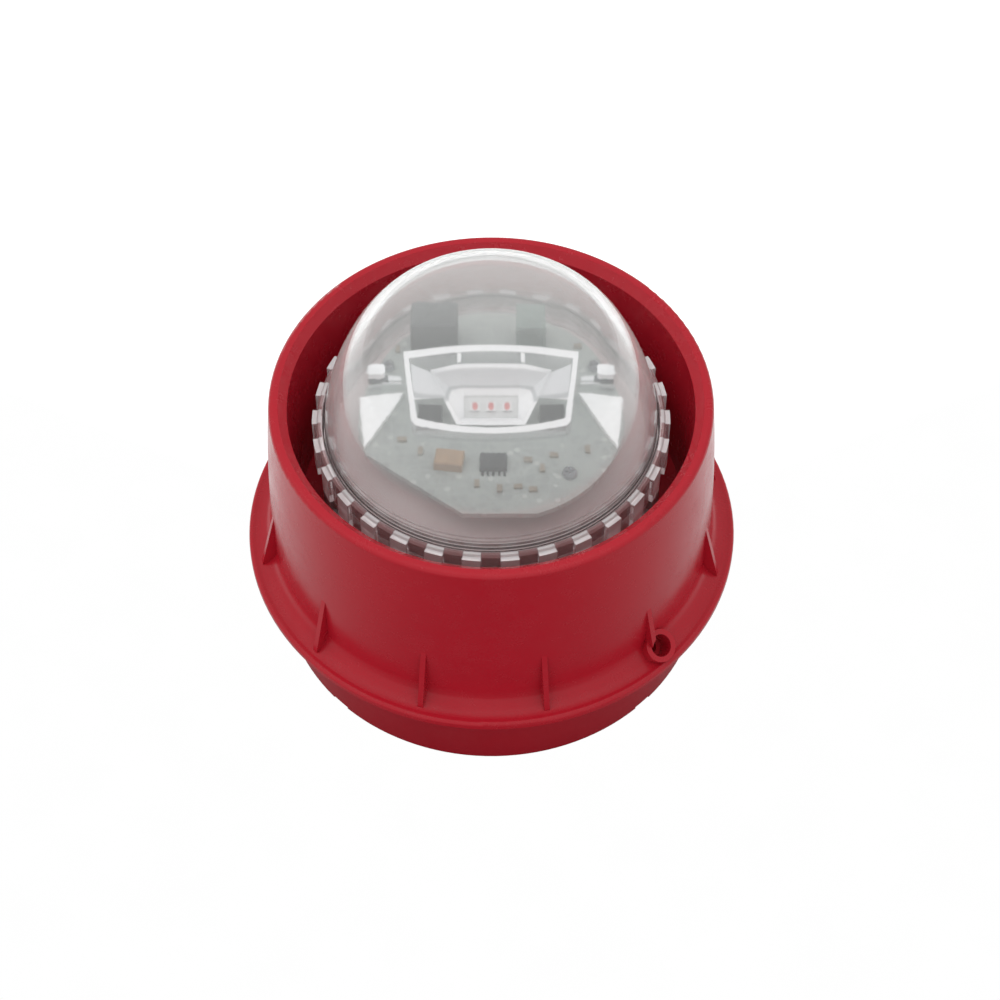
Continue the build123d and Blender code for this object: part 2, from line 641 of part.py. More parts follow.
board_screw = pan_screw(BOARD_SHANK_R, 5.4, 2.1, 1.4)
with BuildPart() as board_screws:
    with Locations(*[(x, y, MAIN_TOP) for x, y in BOARD_POSTS]):
        add(board_screw)


def gull_wing_chip(x, y, z, width, depth, height, pins):
    """Flat chip package with a row of formed legs on each of its two long sides."""
    leg_step = width / pins
    with BuildPart() as chip:
        with BuildSketch(Plane.XY.offset(z + 0.2)):
            with Locations((x, y)):
                Rectangle(width, depth)
        extrude(amount=height, taper=6)
        for i in range(pins):
            leg_x = x + leg_step * (i - (pins - 1) / 2)
            for side in (-1, 1):
                foot_y = y + side * (depth / 2 + 0.45)
                with BuildSketch(Plane.XY.offset(z)):
                    with Locations((leg_x, foot_y)):
                        Rectangle(leg_step * 0.45, 1.3)
                extrude(amount=0.35)
    return chip


processor = gull_wing_chip(-12.0, 4.0, MAIN_TOP, 10.0, 6.4, 1.8, 8)
amplifier = gull_wing_chip(11.5, 3.0, MAIN_TOP, 5.0, 4.0, 1.5, 4)

CAN_PLACES = ((-9.0, -14.0), (3.5, -17.0))
CAN_R = 5.0
CAN_H = 10.5
CAN_ROUND = 0.8
VENT_L = 7.0              # cross-shaped vent score in a can's top
VENT_W = 0.5
VENT_H = 0.6

with BuildPart() as reservoir_capacitors:
    with BuildSketch(Plane.XY.offset(MAIN_TOP)):
        with Locations(*CAN_PLACES):
            Circle(CAN_R)
    extrude(amount=CAN_H)
    top_edges = reservoir_capacitors.edges().filter_by(GeomType.CIRCLE).group_by(Axis.Z)[-1]
    fillet(top_edges, CAN_ROUND)
    with Locations(*[(x, y, MAIN_TOP + CAN_H) for x, y in CAN_PLACES]):
        Box(VENT_L, VENT_W, VENT_H, mode=Mode.SUBTRACT)
        Box(VENT_W, VENT_L, VENT_H, mode=Mode.SUBTRACT)

COIL_AT = (17.0, -11.0)
COIL_CHEEK_R = 5.5
COIL_CHEEK_T = 1.6
COIL_R = 4.3
COIL_H = 5.2

with BuildPart() as sounder_coil:
    with BuildSketch(Plane.XY.offset(MAIN_TOP)):
        with Locations(COIL_AT):
            Circle(COIL_CHEEK_R)
    extrude(amount=COIL_CHEEK_T)
    with BuildSketch(Plane.XY.offset(MAIN_TOP + COIL_CHEEK_T)):
        with Locations(COIL_AT):
            Circle(COIL_R)
    extrude(amount=COIL_H)
    with BuildSketch(Plane.XY.offset(MAIN_TOP + COIL_CHEEK_T + COIL_H)):
        with Locations(COIL_AT):
            Circle(COIL_CHEEK_R)
    extrude(amount=COIL_CHEEK_T)

ROTOR_R = 3.1
ROTOR_LOW = 26.0
ROTOR_H = 2.7
ROTOR_PLAY = 0.05
WELL_DEEP = 2.6
ROTOR_SLOT = (4.6, 1.0, 2.0)  # screwdriver slot
ARROW_AT = 2.0
ARROW_SIDE = 1.6
ARROW_DEEP = 1.0
SWITCH_CHAMFER = 0.5


def decade_switch_body(x, y):
    """Square switch body that hangs under the main board, with a round well."""
    with BuildPart() as body:
        with BuildSketch(Plane.XY.offset(SWITCH_LOW)):
            with Locations((x, y)):
                Rectangle(SWITCH_SIDE, SWITCH_SIDE)
        extrude(amount=MAIN_Z - SWITCH_LOW)
        chamfer(body.edges().filter_by(Axis.Z), SWITCH_CHAMFER)
        with BuildSketch(Plane.XY.offset(SWITCH_LOW)):
            with Locations((x, y)):
                Circle(ROTOR_R + ROTOR_PLAY)
        extrude(amount=WELL_DEEP, mode=Mode.SUBTRACT)
    return body


def decade_switch_rotor(x, y):
    """Round rotor with a screwdriver slot and an arrow notch."""
    with BuildPart() as rotor:
        with BuildSketch(Plane.XY.offset(ROTOR_LOW)):
            with Locations((x, y)):
                Circle(ROTOR_R)
        extrude(amount=ROTOR_H)
        with Locations((x, y, ROTOR_LOW)):
            Box(*ROTOR_SLOT, mode=Mode.SUBTRACT)
        with BuildSketch(Plane.XY.offset(ROTOR_LOW)):
            with Locations((x + ARROW_AT, y)):
                Triangle(a=ARROW_SIDE, b=ARROW_SIDE, c=ARROW_SIDE, rotation=-90)
        extrude(amount=ARROW_DEEP, mode=Mode.SUBTRACT)
    return rotor


address_switch_tens = decade_switch_body(TENS_X, SWITCH_Y)
address_switch_units = decade_switch_body(UNITS_X, SWITCH_Y)
address_rotor_tens = decade_switch_rotor(TENS_X, SWITCH_Y)
address_rotor_units = decade_switch_rotor(UNITS_X, SWITCH_Y)

OPTION_WAYS = 4
OPTION_PITCH = 2.6
OPTION_TRAVEL = 1.6
SLIDER_W = 1.2
SLIDER_L = 1.4
SLIDER_GAP = 0.12
SLIDER_H = 2.5
SLIDER_PROUD = 0.5
SLIDER_CHAMFER = 0.2
OPTION_WELL_DEEP = 2.2
OPTION_WAY_X = [OPTION_X + OPTION_PITCH * (i - (OPTION_WAYS - 1) / 2) for i in range(OPTION_WAYS)]
WELL_L = SLIDER_L + OPTION_TRAVEL + 2 * SLIDER_GAP
SLIDER_Y = SWITCH_Y - WELL_L / 2 + SLIDER_GAP + SLIDER_L / 2

with BuildPart() as option_switch:
    with BuildSketch(Plane.XY.offset(SWITCH_LOW)):
        with Locations((OPTION_X, SWITCH_Y)):
            Rectangle(OPTION_W, OPTION_D)
    extrude(amount=MAIN_Z - SWITCH_LOW)
    with BuildSketch(Plane.XY.offset(SWITCH_LOW)):
        with Locations(*[(x, SWITCH_Y) for x in OPTION_WAY_X]):
            Rectangle(SLIDER_W + 2 * SLIDER_GAP, WELL_L)
    extrude(amount=OPTION_WELL_DEEP, mode=Mode.SUBTRACT)


def option_slider(x):
    """One slider of the option switch, at the -Y end of its well."""
    with BuildPart() as slider:
        with BuildSketch(Plane.XY.offset(SWITCH_LOW - SLIDER_PROUD)):
            with Locations((x, SLIDER_Y)):
                Rectangle(SLIDER_W, SLIDER_L)
        extrude(amount=SLIDER_H)
        chamfer(slider.faces().sort_by(Axis.Z)[0].edges(), SLIDER_CHAMFER)
    return slider


option_sliders = [option_slider(x) for x in OPTION_WAY_X]

# ---------------------------------------------------------------- board link
PIN_COUNT = 4
PIN_PITCH = 2.54
PIN_SIDE = 0.64
PIN_HOLE = 0.7
LINK_X = [PIN_PITCH * (i - (PIN_COUNT - 1) / 2) for i in range(PIN_COUNT)]
SOCKET = (11.0, 2.5)
SOCKET_H = 8.5

with BuildPart() as link_socket:
    with BuildSketch(Plane.XY.offset(MAIN_TOP)):
        with Locations((0, LINK_Y)):
            Rectangle(*SOCKET)
        with Locations(*[(x, LINK_Y) for x in LINK_X]):
            Rectangle(PIN_HOLE, PIN_HOLE, mode=Mode.SUBTRACT)
    extrude(amount=SOCKET_H)

with BuildPart() as link_pins:
    with BuildSketch(Plane.XY.offset(MAIN_TOP)):
        with Locations(*[(x, LINK_Y) for x in LINK_X]):
            Rectangle(PIN_SIDE, PIN_SIDE)
    extrude(amount=STROBE_Z - MAIN_TOP)

# ---------------------------------------------------------------- sounder
BAFFLE_LOW = 46.0
BAFFLE_TOP = 48.0
COLLAR_IN = 26.0
COLLAR_OUT = 28.2
COLLAR_TOP = 52.0
BAFFLE_HOLE_R = 21.0
DISC_T = 0.3
DISC_PLAY = 0.1
CERAMIC_R = 17.5
BAFFLE_SCREW_HOLE_R = 1.3
CAP_HOLE_R = 3.4          # sound holes in the resonator's lid
CAP_RING_HOLE_R = 2.6
CAP_RING_R = 13.0
CAP_T = 1.6
CONTACT_X = 19.4          # second spring contact; the first is on the axis
CONTACT_FOOT_R = 1.1
CONTACT_FOOT_H = 6.0
CONTACT_PIN_R = 0.6

with BuildPart() as sounder_baffle:
    with BuildSketch(Plane.XY.offset(BAFFLE_LOW)):
        Circle(CHASSIS_IN - 0.2)
        Circle(BAFFLE_HOLE_R, mode=Mode.SUBTRACT)
        with Locations((0, LINK_Y)):
            Rectangle(*LINK_SLOT, mode=Mode.SUBTRACT)
        with Locations(*BAFFLE_SCREWS):
            Circle(BAFFLE_SCREW_HOLE_R, mode=Mode.SUBTRACT)
    extrude(amount=BAFFLE_TOP - BAFFLE_LOW)
    with BuildSketch(Plane.XY.offset(BAFFLE_TOP)):
        Circle(COLLAR_OUT)
        Circle(COLLAR_IN, mode=Mode.SUBTRACT)
    extrude(amount=COLLAR_TOP - BAFFLE_TOP)

baffle_screw = pan_screw(BAFFLE_SHANK_R, 6.0, 2.1, 1.4)
with BuildPart() as baffle_screws:
    with Locations(*[Location((x, y, BAFFLE_LOW), (180, 0, 0)) for x, y in BAFFLE_SCREWS]):
        add(baffle_screw)

with BuildPart() as piezo_plate:
    with BuildSketch(Plane.XY.offset(BAFFLE_TOP)):
        Circle(COLLAR_IN - DISC_PLAY)
    extrude(amount=DISC_T)

with BuildPart() as piezo_ceramic:
    with BuildSketch(Plane.XY.offset(BAFFLE_TOP)):
        Circle(CERAMIC_R)
    extrude(amount=-DISC_T)

with BuildPart() as resonator_cap:
    with BuildSketch(Plane.XY.offset(COLLAR_TOP)):
        Circle(COLLAR_OUT)
        Circle(CAP_HOLE_R, mode=Mode.SUBTRACT)
        with PolarLocations(CAP_RING_R, 6):
            Circle(CAP_RING_HOLE_R, mode=Mode.SUBTRACT)
    extrude(amount=CAP_T)
    with BuildSketch(Plane.XY.offset(COLLAR_TOP)):
        Circle(COLLAR_IN - DISC_PLAY)
        Circle(COLLAR_IN - CAP_T, mode=Mode.SUBTRACT)
    extrude(amount=-(COLLAR_TOP - BAFFLE_TOP - DISC_T))

with BuildPart() as piezo_contacts:
    with BuildSketch(Plane.XY.offset(MAIN_TOP)):
        Circle(CONTACT_FOOT_R)
        with Locations((CONTACT_X, 0)):
            Circle(CONTACT_FOOT_R)
    extrude(amount=CONTACT_FOOT_H)
    with BuildSketch(Plane.XY.offset(MAIN_TOP + CONTACT_FOOT_H)):
        Circle(CONTACT_PIN_R)
    extrude(amount=BAFFLE_TOP - DISC_T - MAIN_TOP - CONTACT_FOOT_H)
    with BuildSketch(Plane.XY.offset(MAIN_TOP + CONTACT_FOOT_H)):
        with Locations((CONTACT_X, 0)):
            Circle(CONTACT_PIN_R)
    extrude(amount=BAFFLE_TOP - MAIN_TOP - CONTACT_FOOT_H)

# ================================================================ lens
FLANGE_FOOT_TOP = LENS_FOOT_Z + 1.4
RING_SHELF = FLANGE_FOOT_TOP + 0.1    # the ring holds the dome's foot flange down
RING_BORE_R = NECK_R + 0.2
RING_LOW = NECK_LOW + 1.0
TOOTH_TOP = RING_TOP - 0.4

with BuildPart() as lens_dome:
    with BuildSketch(Plane.XZ):
        with BuildLine():
            side = Spline(
                (LENS_FOOT_R, LENS_COLLAR_TOP),
                *LENS_PROFILE,
                (0, LENS_TOP),
                tangents=((-0.05, 1), (-1, 0)),
            )
            Line((0, LENS_TOP), (0, LENS_FOOT_Z))
            Line((0, LENS_FOOT_Z), (NECK_R, LENS_FOOT_Z))
            Line((NECK_R, LENS_FOOT_Z), (NECK_R, FLANGE_FOOT_TOP))
            Line((NECK_R, FLANGE_FOOT_TOP), (LENS_FOOT_R, FLANGE_FOOT_TOP))
            Line((LENS_FOOT_R, FLANGE_FOOT_TOP), side @ 0)
        make_face()
    revolve(axis=Axis.Z)
    # hollow: the same outline, one wall thickness in
    with BuildSketch(Plane.XZ):
        with BuildLine():
            inner = Spline(
                (LENS_FOOT_R - LENS_WALL, LENS_COLLAR_TOP),
                *LENS_INNER_PROFILE,
                (0, LENS_TOP - LENS_WALL),
                tangents=((-0.05, 1), (-1, 0)),
            )
            Line(inner @ 1, (0, LENS_FOOT_Z))
            Line((0, LENS_FOOT_Z), (LENS_FOOT_R - LENS_WALL, LENS_FOOT_Z))
            Line((LENS_FOOT_R - LENS_WALL, LENS_FOOT_Z), inner @ 0)
        make_face()
    revolve(axis=Axis.Z, mode=Mode.SUBTRACT)

with BuildPart() as lens_ring:
    with BuildSketch(Plane.XZ):
        with BuildLine():
            Polyline(
                (LENS_FOOT_R + RING_GAP, RING_SHELF),
                (RING_BORE_R, RING_SHELF),
                (RING_BORE_R, RING_LOW),
                (RING_R, RING_LOW),
                (RING_R, RING_TOP - RING_BEVEL),
                (RING_R - RING_BEVEL, RING_TOP),
                (LENS_FOOT_R + RING_GAP, RING_TOP),
                close=True,
            )
        make_face()
    revolve(axis=Axis.Z)
    # castellations round the outside
    with BuildSketch(Plane.XY.offset(RING_LOW)):
        add(ring_sectors(RING_R - RING_BEVEL, RING_TOOTH_R, RING_TEETH, 0, 180 / RING_TEETH))
    extrude(amount=TOOTH_TOP - RING_LOW)

with BuildPart() as lens_seal:
    with BuildSketch(Plane.XZ):
        with Locations((SEAL_R, DECK_Z)):
            Circle(SEAL_THICK_R)
    revolve(axis=Axis.Z)

# ================================================================ beacon
CHORD_FROM = (-28.4, -12.4)   # the board's cut-off corner
CHORD_TO = (-6.4, -29.4)
PAST_BOARD = STROBE_R + 5
STROBE_HOLE_R = 1.1

with BuildPart() as strobe_board:
    with BuildSketch(Plane.XY.offset(STROBE_Z)):
        Circle(STROBE_R)
        Polygon(
            CHORD_FROM,
            CHORD_TO,
            (PAST_BOARD, CHORD_TO[1]),
            (PAST_BOARD, -PAST_BOARD),
            (-PAST_BOARD, -PAST_BOARD),
            (-PAST_BOARD, CHORD_FROM[1]),
            align=None,
            mode=Mode.SUBTRACT,
        )
        with Locations(*STROBE_SCREWS):
            Circle(STROBE_HOLE_R, mode=Mode.SUBTRACT)
    extrude(amount=BOARD_T)

strobe_screw = pan_screw(BOARD_SHANK_R, 6.0, 1.7, 1.1)
with BuildPart() as strobe_board_screws:
    with Locations(*[(x, y, STROBE_TOP) for x, y in STROBE_SCREWS]):
        add(strobe_screw)

LED_TILT = 39.0
LED_PLANE = Plane(
    origin=(0, -1.0, 71.8),
    x_dir=(1, 0, 0),
    z_dir=(0, -math.sin(math.radians(LED_TILT)), math.cos(math.radians(LED_TILT))),
)
LED_H = 0.9
LED_PITCH = 3.7
LED_BOARD_T = 1.0
LED_BOARD = (14.0, 6.4)
LED_BOARD_CORNER = 0.6
LED_SIDE = 2.2
LED_WINDOW_R = 0.8
LED_WINDOW_DEEP = 0.25
BRACKET_W = 11.0
BRACKET_HALF_L = 3.1

with BuildPart() as leds:
    with BuildSketch(LED_PLANE.offset(-LED_H)):
        with GridLocations(LED_PITCH, 1, 3, 1):
            Rectangle(LED_SIDE, LED_SIDE)
    extrude(amount=LED_H)
    with BuildSketch(LED_PLANE):
        with GridLocations(LED_PITCH, 1, 3, 1):
            Circle(LED_WINDOW_R)
    extrude(amount=-LED_WINDOW_DEEP, mode=Mode.SUBTRACT)

with BuildPart() as led_board:
    with BuildSketch(LED_PLANE.offset(-LED_H)):
        RectangleRounded(*LED_BOARD, LED_BOARD_CORNER)
    extrude(amount=-LED_BOARD_T)

with BuildPart() as led_bracket:
    foot = LED_PLANE.offset(-LED_H - LED_BOARD_T)
    low_edge = foot.from_local_coords((0, -BRACKET_HALF_L, 0))
    high_edge = foot.from_local_coords((0, BRACKET_HALF_L, 0))
    with BuildSketch(Plane.YZ.offset(-BRACKET_W / 2)):
        with BuildLine():
            Polyline(
                (low_edge.Y, STROBE_TOP),
                (low_edge.Y, low_edge.Z),
                (high_edge.Y, high_edge.Z),
                (high_edge.Y, STROBE_TOP),
                close=True,
            )
        make_face()
    extrude(amount=BRACKET_W)

# ---------------------------------------------------------------- optic
OPTIC_BACK_Y = 7.6
OPTIC_TOP = 80.8
OPTIC_BOW = 1.2           # how far the back wall bows out
OPTIC_FRONT_Y = -7.0
OPTIC_BULGE_Y = -8.7
OPTIC_BACK_X = 20.3
OPTIC_FRONT_X = 18.6
OPTIC_WALL = 1.3
OPTIC_CORNER = 2.0
OPTIC_RIB_X = 7.4         # upright ribs on the back wall
OPTIC_RIB = 0.9
RIM_TILT = 31.0
RIM_PLANE = Plane(
    origin=(0, OPTIC_BACK_Y, OPTIC_TOP),
    x_dir=(1, 0, 0),
    z_dir=(0, -math.sin(math.radians(RIM_TILT)), math.cos(math.radians(RIM_TILT))),
)


def optic_outline(inset):
    """Plan of the optic frame: straight back, tapering sides, bulging front."""
    with BuildSketch() as outline:
        with BuildLine():
            back = OPTIC_BACK_Y - inset
            front = OPTIC_FRONT_Y + inset
            Line((-OPTIC_FRONT_X + inset, front), (-OPTIC_BACK_X + inset, back))
            ThreePointArc(
                (-OPTIC_BACK_X + inset, back),
                (0, back + OPTIC_BOW),
                (OPTIC_BACK_X - inset, back),
            )
            Line((OPTIC_BACK_X - inset, back), (OPTIC_FRONT_X - inset, front))
            ThreePointArc(
                (OPTIC_FRONT_X - inset, front),
                (0, OPTIC_BULGE_Y + inset),
                (-OPTIC_FRONT_X + inset, front),
            )
        make_face()
    return outline.sketch


with BuildPart() as optic_frame:
    with BuildSketch(Plane.XY.offset(STROBE_TOP)):
        add(optic_outline(0))
        add(optic_outline(OPTIC_WALL), mode=Mode.SUBTRACT)
        with Locations((-OPTIC_RIB_X, OPTIC_BACK_Y - OPTIC_WALL), (OPTIC_RIB_X, OPTIC_BACK_Y - OPTIC_WALL)):
            Rectangle(OPTIC_RIB, 2 * OPTIC_RIB)
    extrude(amount=OPTIC_TOP - STROBE_TOP + OPTIC_BOW)
    split(bisect_by=RIM_PLANE, keep=Keep.BOTTOM)
    upright = optic_frame.edges().filter_by(Axis.Z)
    fillet(upright.sort_by(Axis.Y)[0:2], OPTIC_CORNER)

REFLECTOR_WALL = 0.8
REFLECTOR_SINK = 0.4      # its foot goes this far below the LEDs' faces
REFLECTOR_DEPTH = 3.0
REFLECTOR_SMALL = (       # half of the mouth round the LEDs, on their plane
    (6.2, -2.6),
    (6.3, 1.6),
    (6.2, 2.6),
)
REFLECTOR_WIDE = (        # half of the mouth at the rim
    (7.2, -3.6),
    (13.2, 7.4),
    (7.2, 8.6),
)


def grown_mouth(half, grow):
    """Six-sided mouth from its right half, made larger all round."""
    middle = (half[0][1] + half[-1][1]) / 2
    right = [(x + grow, y + math.copysign(grow, y - middle)) for x, y in half]
    return Polygon(*right, *[(-x, y) for x, y in reversed(right)], align=None)


def reflector_funnel(grow):
    """Solid between the small mouth at the LEDs and the wide mouth at the optic's rim."""
    with BuildPart() as funnel:
        with BuildSketch(LED_PLANE.offset(-REFLECTOR_SINK)):
            grown_mouth(REFLECTOR_SMALL, grow)
        with BuildSketch(LED_PLANE.offset(REFLECTOR_DEPTH)):
            grown_mouth(REFLECTOR_WIDE, grow)
        loft(ruled=True)
    return funnel.part


with BuildPart() as reflector:
    add(reflector_funnel(REFLECTOR_WALL))
    add(reflector_funnel(0), mode=Mode.SUBTRACT)


WING = ((20.9, 5.0), (31.4, 4.0), (29.2, -11.0))
WING_T = 1.2


def diffuser_wing(side):
    """Flat triangular white wing beside the optic; side is -1 for left, 1 for right."""
    with BuildPart() as wing:
        with BuildSketch(Plane.XY.offset(STROBE_TOP)):
            Polygon(*[(side * x, y) for x, y in WING], align=None)
        extrude(amount=WING_T)
    return wing


CLIP_X = 28.0
CLIP_Y = 7.6
CLIP_POST_H = 5.0
CLIP_HEAD_H = 1.6
CLIP_ARM_Z = STROBE_TOP + 2.0
CLIP_ARM_H = 1.4
CLIP_POST = (3.2, 2.2)
CLIP_HEAD = (4.4, 3.2)
CLIP_HEAD_CORNER = 0.8
CLIP_HEAD_IN = 0.4        # the head leans over towards the optic
CLIP_ARM = (5.2, 1.4)
CLIP_ARM_IN = 4.1


def optic_clip(side):
    """Snap post that holds the optic on the board, with a hooked head."""
    with BuildPart() as clip:
        with BuildSketch(Plane.XY.offset(STROBE_TOP)):
            with Locations((side * CLIP_X, CLIP_Y)):
                Rectangle(*CLIP_POST)
        extrude(amount=CLIP_POST_H)
        with BuildSketch(Plane.XY.offset(STROBE_TOP + CLIP_POST_H)):
            with Locations((side * (CLIP_X - CLIP_HEAD_IN), CLIP_Y)):
                RectangleRounded(*CLIP_HEAD, CLIP_HEAD_CORNER)
        extrude(amount=CLIP_HEAD_H)
        with BuildSketch(Plane.XY.offset(CLIP_ARM_Z)):
            with Locations((side * (CLIP_X - CLIP_ARM_IN), CLIP_Y)):
                Rectangle(*CLIP_ARM)
        extrude(amount=CLIP_ARM_H)
    return clip


left_wing = diffuser_wing(-1)
right_wing = diffuser_wing(1)
left_clip = optic_clip(-1)
right_clip = optic_clip(1)

# ---------------------------------------------------------------- parts on the beacon board
TRANSISTOR_X = 14.3
TRANSISTOR_Y = -2.0
TRANSISTOR_H = 2.2
TRANSISTOR = (5.8, 5.6)
INDUCTOR_AT = (-13.5, 22.0)
INDUCTOR = (11.0, 8.0)
INDUCTOR_CORNER = 0.8
INDUCTOR_H = 10.0
INDUCTOR_CHAMFER = 0.4
TRANSFORMER_AT = (9.5, 22.0)
TRANSFORMER_CHEEK = (7.0, 8.0)
TRANSFORMER_CHEEK_T = 2.0
TRANSFORMER_WINDING = (5.6, 6.4)
TRANSFORMER_WINDING_H = 5.0
TANTALUM_AT = (-9.6, -15.0)
TANTALUM = (6.6, 4.4)
TANTALUM_TURN = -8
TANTALUM_H = 2.6
TANTALUM_CHAMFER = 0.3
CHIP_PART = (2.0, 1.2)
CHIP_PART_H = 0.7

with BuildPart() as driver_transistors:
    for side in (-1, 1):
        with BuildSketch(Plane.XY.offset(STROBE_TOP)):
            with Locations((side * TRANSISTOR_X, TRANSISTOR_Y)):
                Rectangle(*TRANSISTOR)
        extrude(amount=TRANSISTOR_H)

with BuildPart() as storage_inductor:
    with BuildSketch(Plane.XY.offset(STROBE_TOP)):
        with Locations(INDUCTOR_AT):
            RectangleRounded(*INDUCTOR, INDUCTOR_CORNER)
    extrude(amount=INDUCTOR_H)
    chamfer(storage_inductor.faces().sort_by(Axis.Z)[-1].edges(), INDUCTOR_CHAMFER)

with BuildPart() as flash_transformer:
    with BuildSketch(Plane.XY.offset(STROBE_TOP)):
        with Locations(TRANSFORMER_AT):
            Rectangle(*TRANSFORMER_CHEEK)
    extrude(amount=TRANSFORMER_CHEEK_T)
    with BuildSketch(Plane.XY.offset(STROBE_TOP + TRANSFORMER_CHEEK_T)):
        with Locations(TRANSFORMER_AT):
            Rectangle(*TRANSFORMER_WINDING)
    extrude(amount=TRANSFORMER_WINDING_H)
    with BuildSketch(Plane.XY.offset(STROBE_TOP + TRANSFORMER_CHEEK_T + TRANSFORMER_WINDING_H)):
        with Locations(TRANSFORMER_AT):
            Rectangle(*TRANSFORMER_CHEEK)
    extrude(amount=TRANSFORMER_CHEEK_T)

with BuildPart() as tantalum_capacitor:
    with BuildSketch(Plane.XY.offset(STROBE_TOP)):
        with Locations(TANTALUM_AT):
            Rectangle(*TANTALUM, rotation=TANTALUM_TURN)
    extrude(amount=TANTALUM_H)
    chamfer(tantalum_capacitor.faces().sort_by(Axis.Z)[-1].edges(), TANTALUM_CHAMFER)

strobe_controller = gull_wing_chip(0.6, -15.4, STROBE_TOP, 6.4, 4.2, 1.4, 5)

CHIP_PARTS = (            # x, y and turn of each small part
    (8.6, -14.2, 0),
    (11.8, -16.6, 90),
    (6.2, -21.8, 0),
    (9.6, -22.6, 0),
    (2.0, -22.4, 90),
    (-3.2, -21.0, 90),
    (14.6, -12.8, 0),
    (22.4, -11.0, 90),
    (-16.4, -11.6, 90),
    (-20.8, -8.2, 0),
    (20.6, 20.4, 0),
    (-22.4, 19.6, 90),
)
with BuildPart() as chip_parts:
    with BuildSketch(Plane.XY.offset(STROBE_TOP)):
        for x, y, turn in CHIP_PARTS:
            with Locations((x, y)):
                Rectangle(*CHIP_PART, rotation=turn)
    extrude(amount=CHIP_PART_H)

# ================================================================ write every piece
pieces = {
    "mounting_base": mounting_base,
    "terminal_block": terminal_block,
    "terminal_clamps": terminal_clamps,
    "terminal_screws": terminal_screws,
    "contact_springs": contact_springs,
    "block_screws": block_screws,
    "base_seal": base_seal,
    "sounder_housing": sounder_housing,
    "sound_chassis": sound_chassis,
    "chassis_gasket": chassis_gasket,
    "chassis_screws": chassis_screws,
    "rear_cover": rear_cover,
    "cover_screws": cover_screws,
    "contact_blades": contact_blades,
    "main_board": main_board,
    "board_screws": board_screws,
    "processor": processor,
    "amplifier": amplifier,
    "reservoir_capacitors": reservoir_capacitors,
    "sounder_coil": sounder_coil,
    "address_switch_tens": address_switch_tens,
    "address_switch_units": address_switch_units,
    "address_rotor_tens": address_rotor_tens,
    "address_rotor_units": address_rotor_units,
    "option_switch": option_switch,
    "link_socket": link_socket,
    "link_pins": link_pins,
    "sounder_baffle": sounder_baffle,
    "baffle_screws": baffle_screws,
    "piezo_plate": piezo_plate,
    "piezo_ceramic": piezo_ceramic,
    "resonator_cap": resonator_cap,
    "piezo_contacts": piezo_contacts,
    "lens_dome": lens_dome,
    "lens_ring": lens_ring,
    "lens_seal": lens_seal,
    "strobe_board": strobe_board,
    "strobe_board_screws": strobe_board_screws,
    "leds": leds,
    "led_board": led_board,
    "led_bracket": led_bracket,
    "optic_frame": optic_frame,
    "reflector": reflector,
    "left_wing": left_wing,
    "right_wing": right_wing,
    "left_clip": left_clip,
    "right_clip": right_clip,
    "driver_transistors": driver_transistors,
    "storage_inductor": storage_inductor,
    "flash_transformer": flash_transformer,
    "tantalum_capacitor": tantalum_capacitor,
    "strobe_controller": strobe_controller,
    "chip_parts": chip_parts,
}
for number, slider in enumerate(option_sliders, start=1):
    pieces[f"option_slider_{number}"] = slider

for name, piece in pieces.items():
    piece.part.label = name
    export_step(piece.part, f"parts/{name}.step")
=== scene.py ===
"""Looks of the wall sounder beacon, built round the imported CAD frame. Metres, +Z out of the wall."""

import math

import bmesh
import bpy
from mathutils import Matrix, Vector


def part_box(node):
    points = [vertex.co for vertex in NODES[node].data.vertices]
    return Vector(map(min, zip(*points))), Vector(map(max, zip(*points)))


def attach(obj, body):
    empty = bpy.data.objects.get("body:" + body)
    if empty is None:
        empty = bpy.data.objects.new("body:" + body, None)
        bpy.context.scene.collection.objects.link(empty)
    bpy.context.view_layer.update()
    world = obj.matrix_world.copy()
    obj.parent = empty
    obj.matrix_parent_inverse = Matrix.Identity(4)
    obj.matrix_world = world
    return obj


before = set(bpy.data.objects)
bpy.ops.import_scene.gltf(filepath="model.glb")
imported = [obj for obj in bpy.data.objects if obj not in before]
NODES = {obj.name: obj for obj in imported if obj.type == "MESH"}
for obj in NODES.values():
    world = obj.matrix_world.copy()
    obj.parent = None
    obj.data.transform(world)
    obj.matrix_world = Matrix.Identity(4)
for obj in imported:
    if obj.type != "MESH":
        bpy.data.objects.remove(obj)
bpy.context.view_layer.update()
MM = 0.001
CREASE = math.radians(35)     # faces that meet at more than this keep a sharp edge


# ---------------------------------------------------------------- mesh helpers
def mesh_from(name, build):
    """Makes an object from a function that fills a bmesh."""
    shape = bmesh.new()
    build(shape)
    bmesh.ops.recalc_face_normals(shape, faces=shape.faces)
    mesh = bpy.data.meshes.new(name)
    shape.to_mesh(mesh)
    shape.free()
    piece = bpy.data.objects.new(name, mesh)
    bpy.context.scene.collection.objects.link(piece)
    return piece


def smooth(piece):
    """Smooth shading, with creases where faces meet at a sharp angle."""
    mesh = piece.data
    mesh.polygons.foreach_set("use_smooth", [True] * len(mesh.polygons))
    mesh.set_sharp_from_angle(angle=CREASE)
    mesh.update()


def bevel(piece, width, segments):
    """Rounds a piece's edges and bakes the result into its mesh."""
    step = piece.modifiers.new("bevel", "BEVEL")
    step.width = width
    step.segments = segments
    graph = bpy.context.evaluated_depsgraph_get()
    graph.update()
    baked = bpy.data.meshes.new_from_object(piece.evaluated_get(graph))
    piece.modifiers.clear()
    piece.data = baked


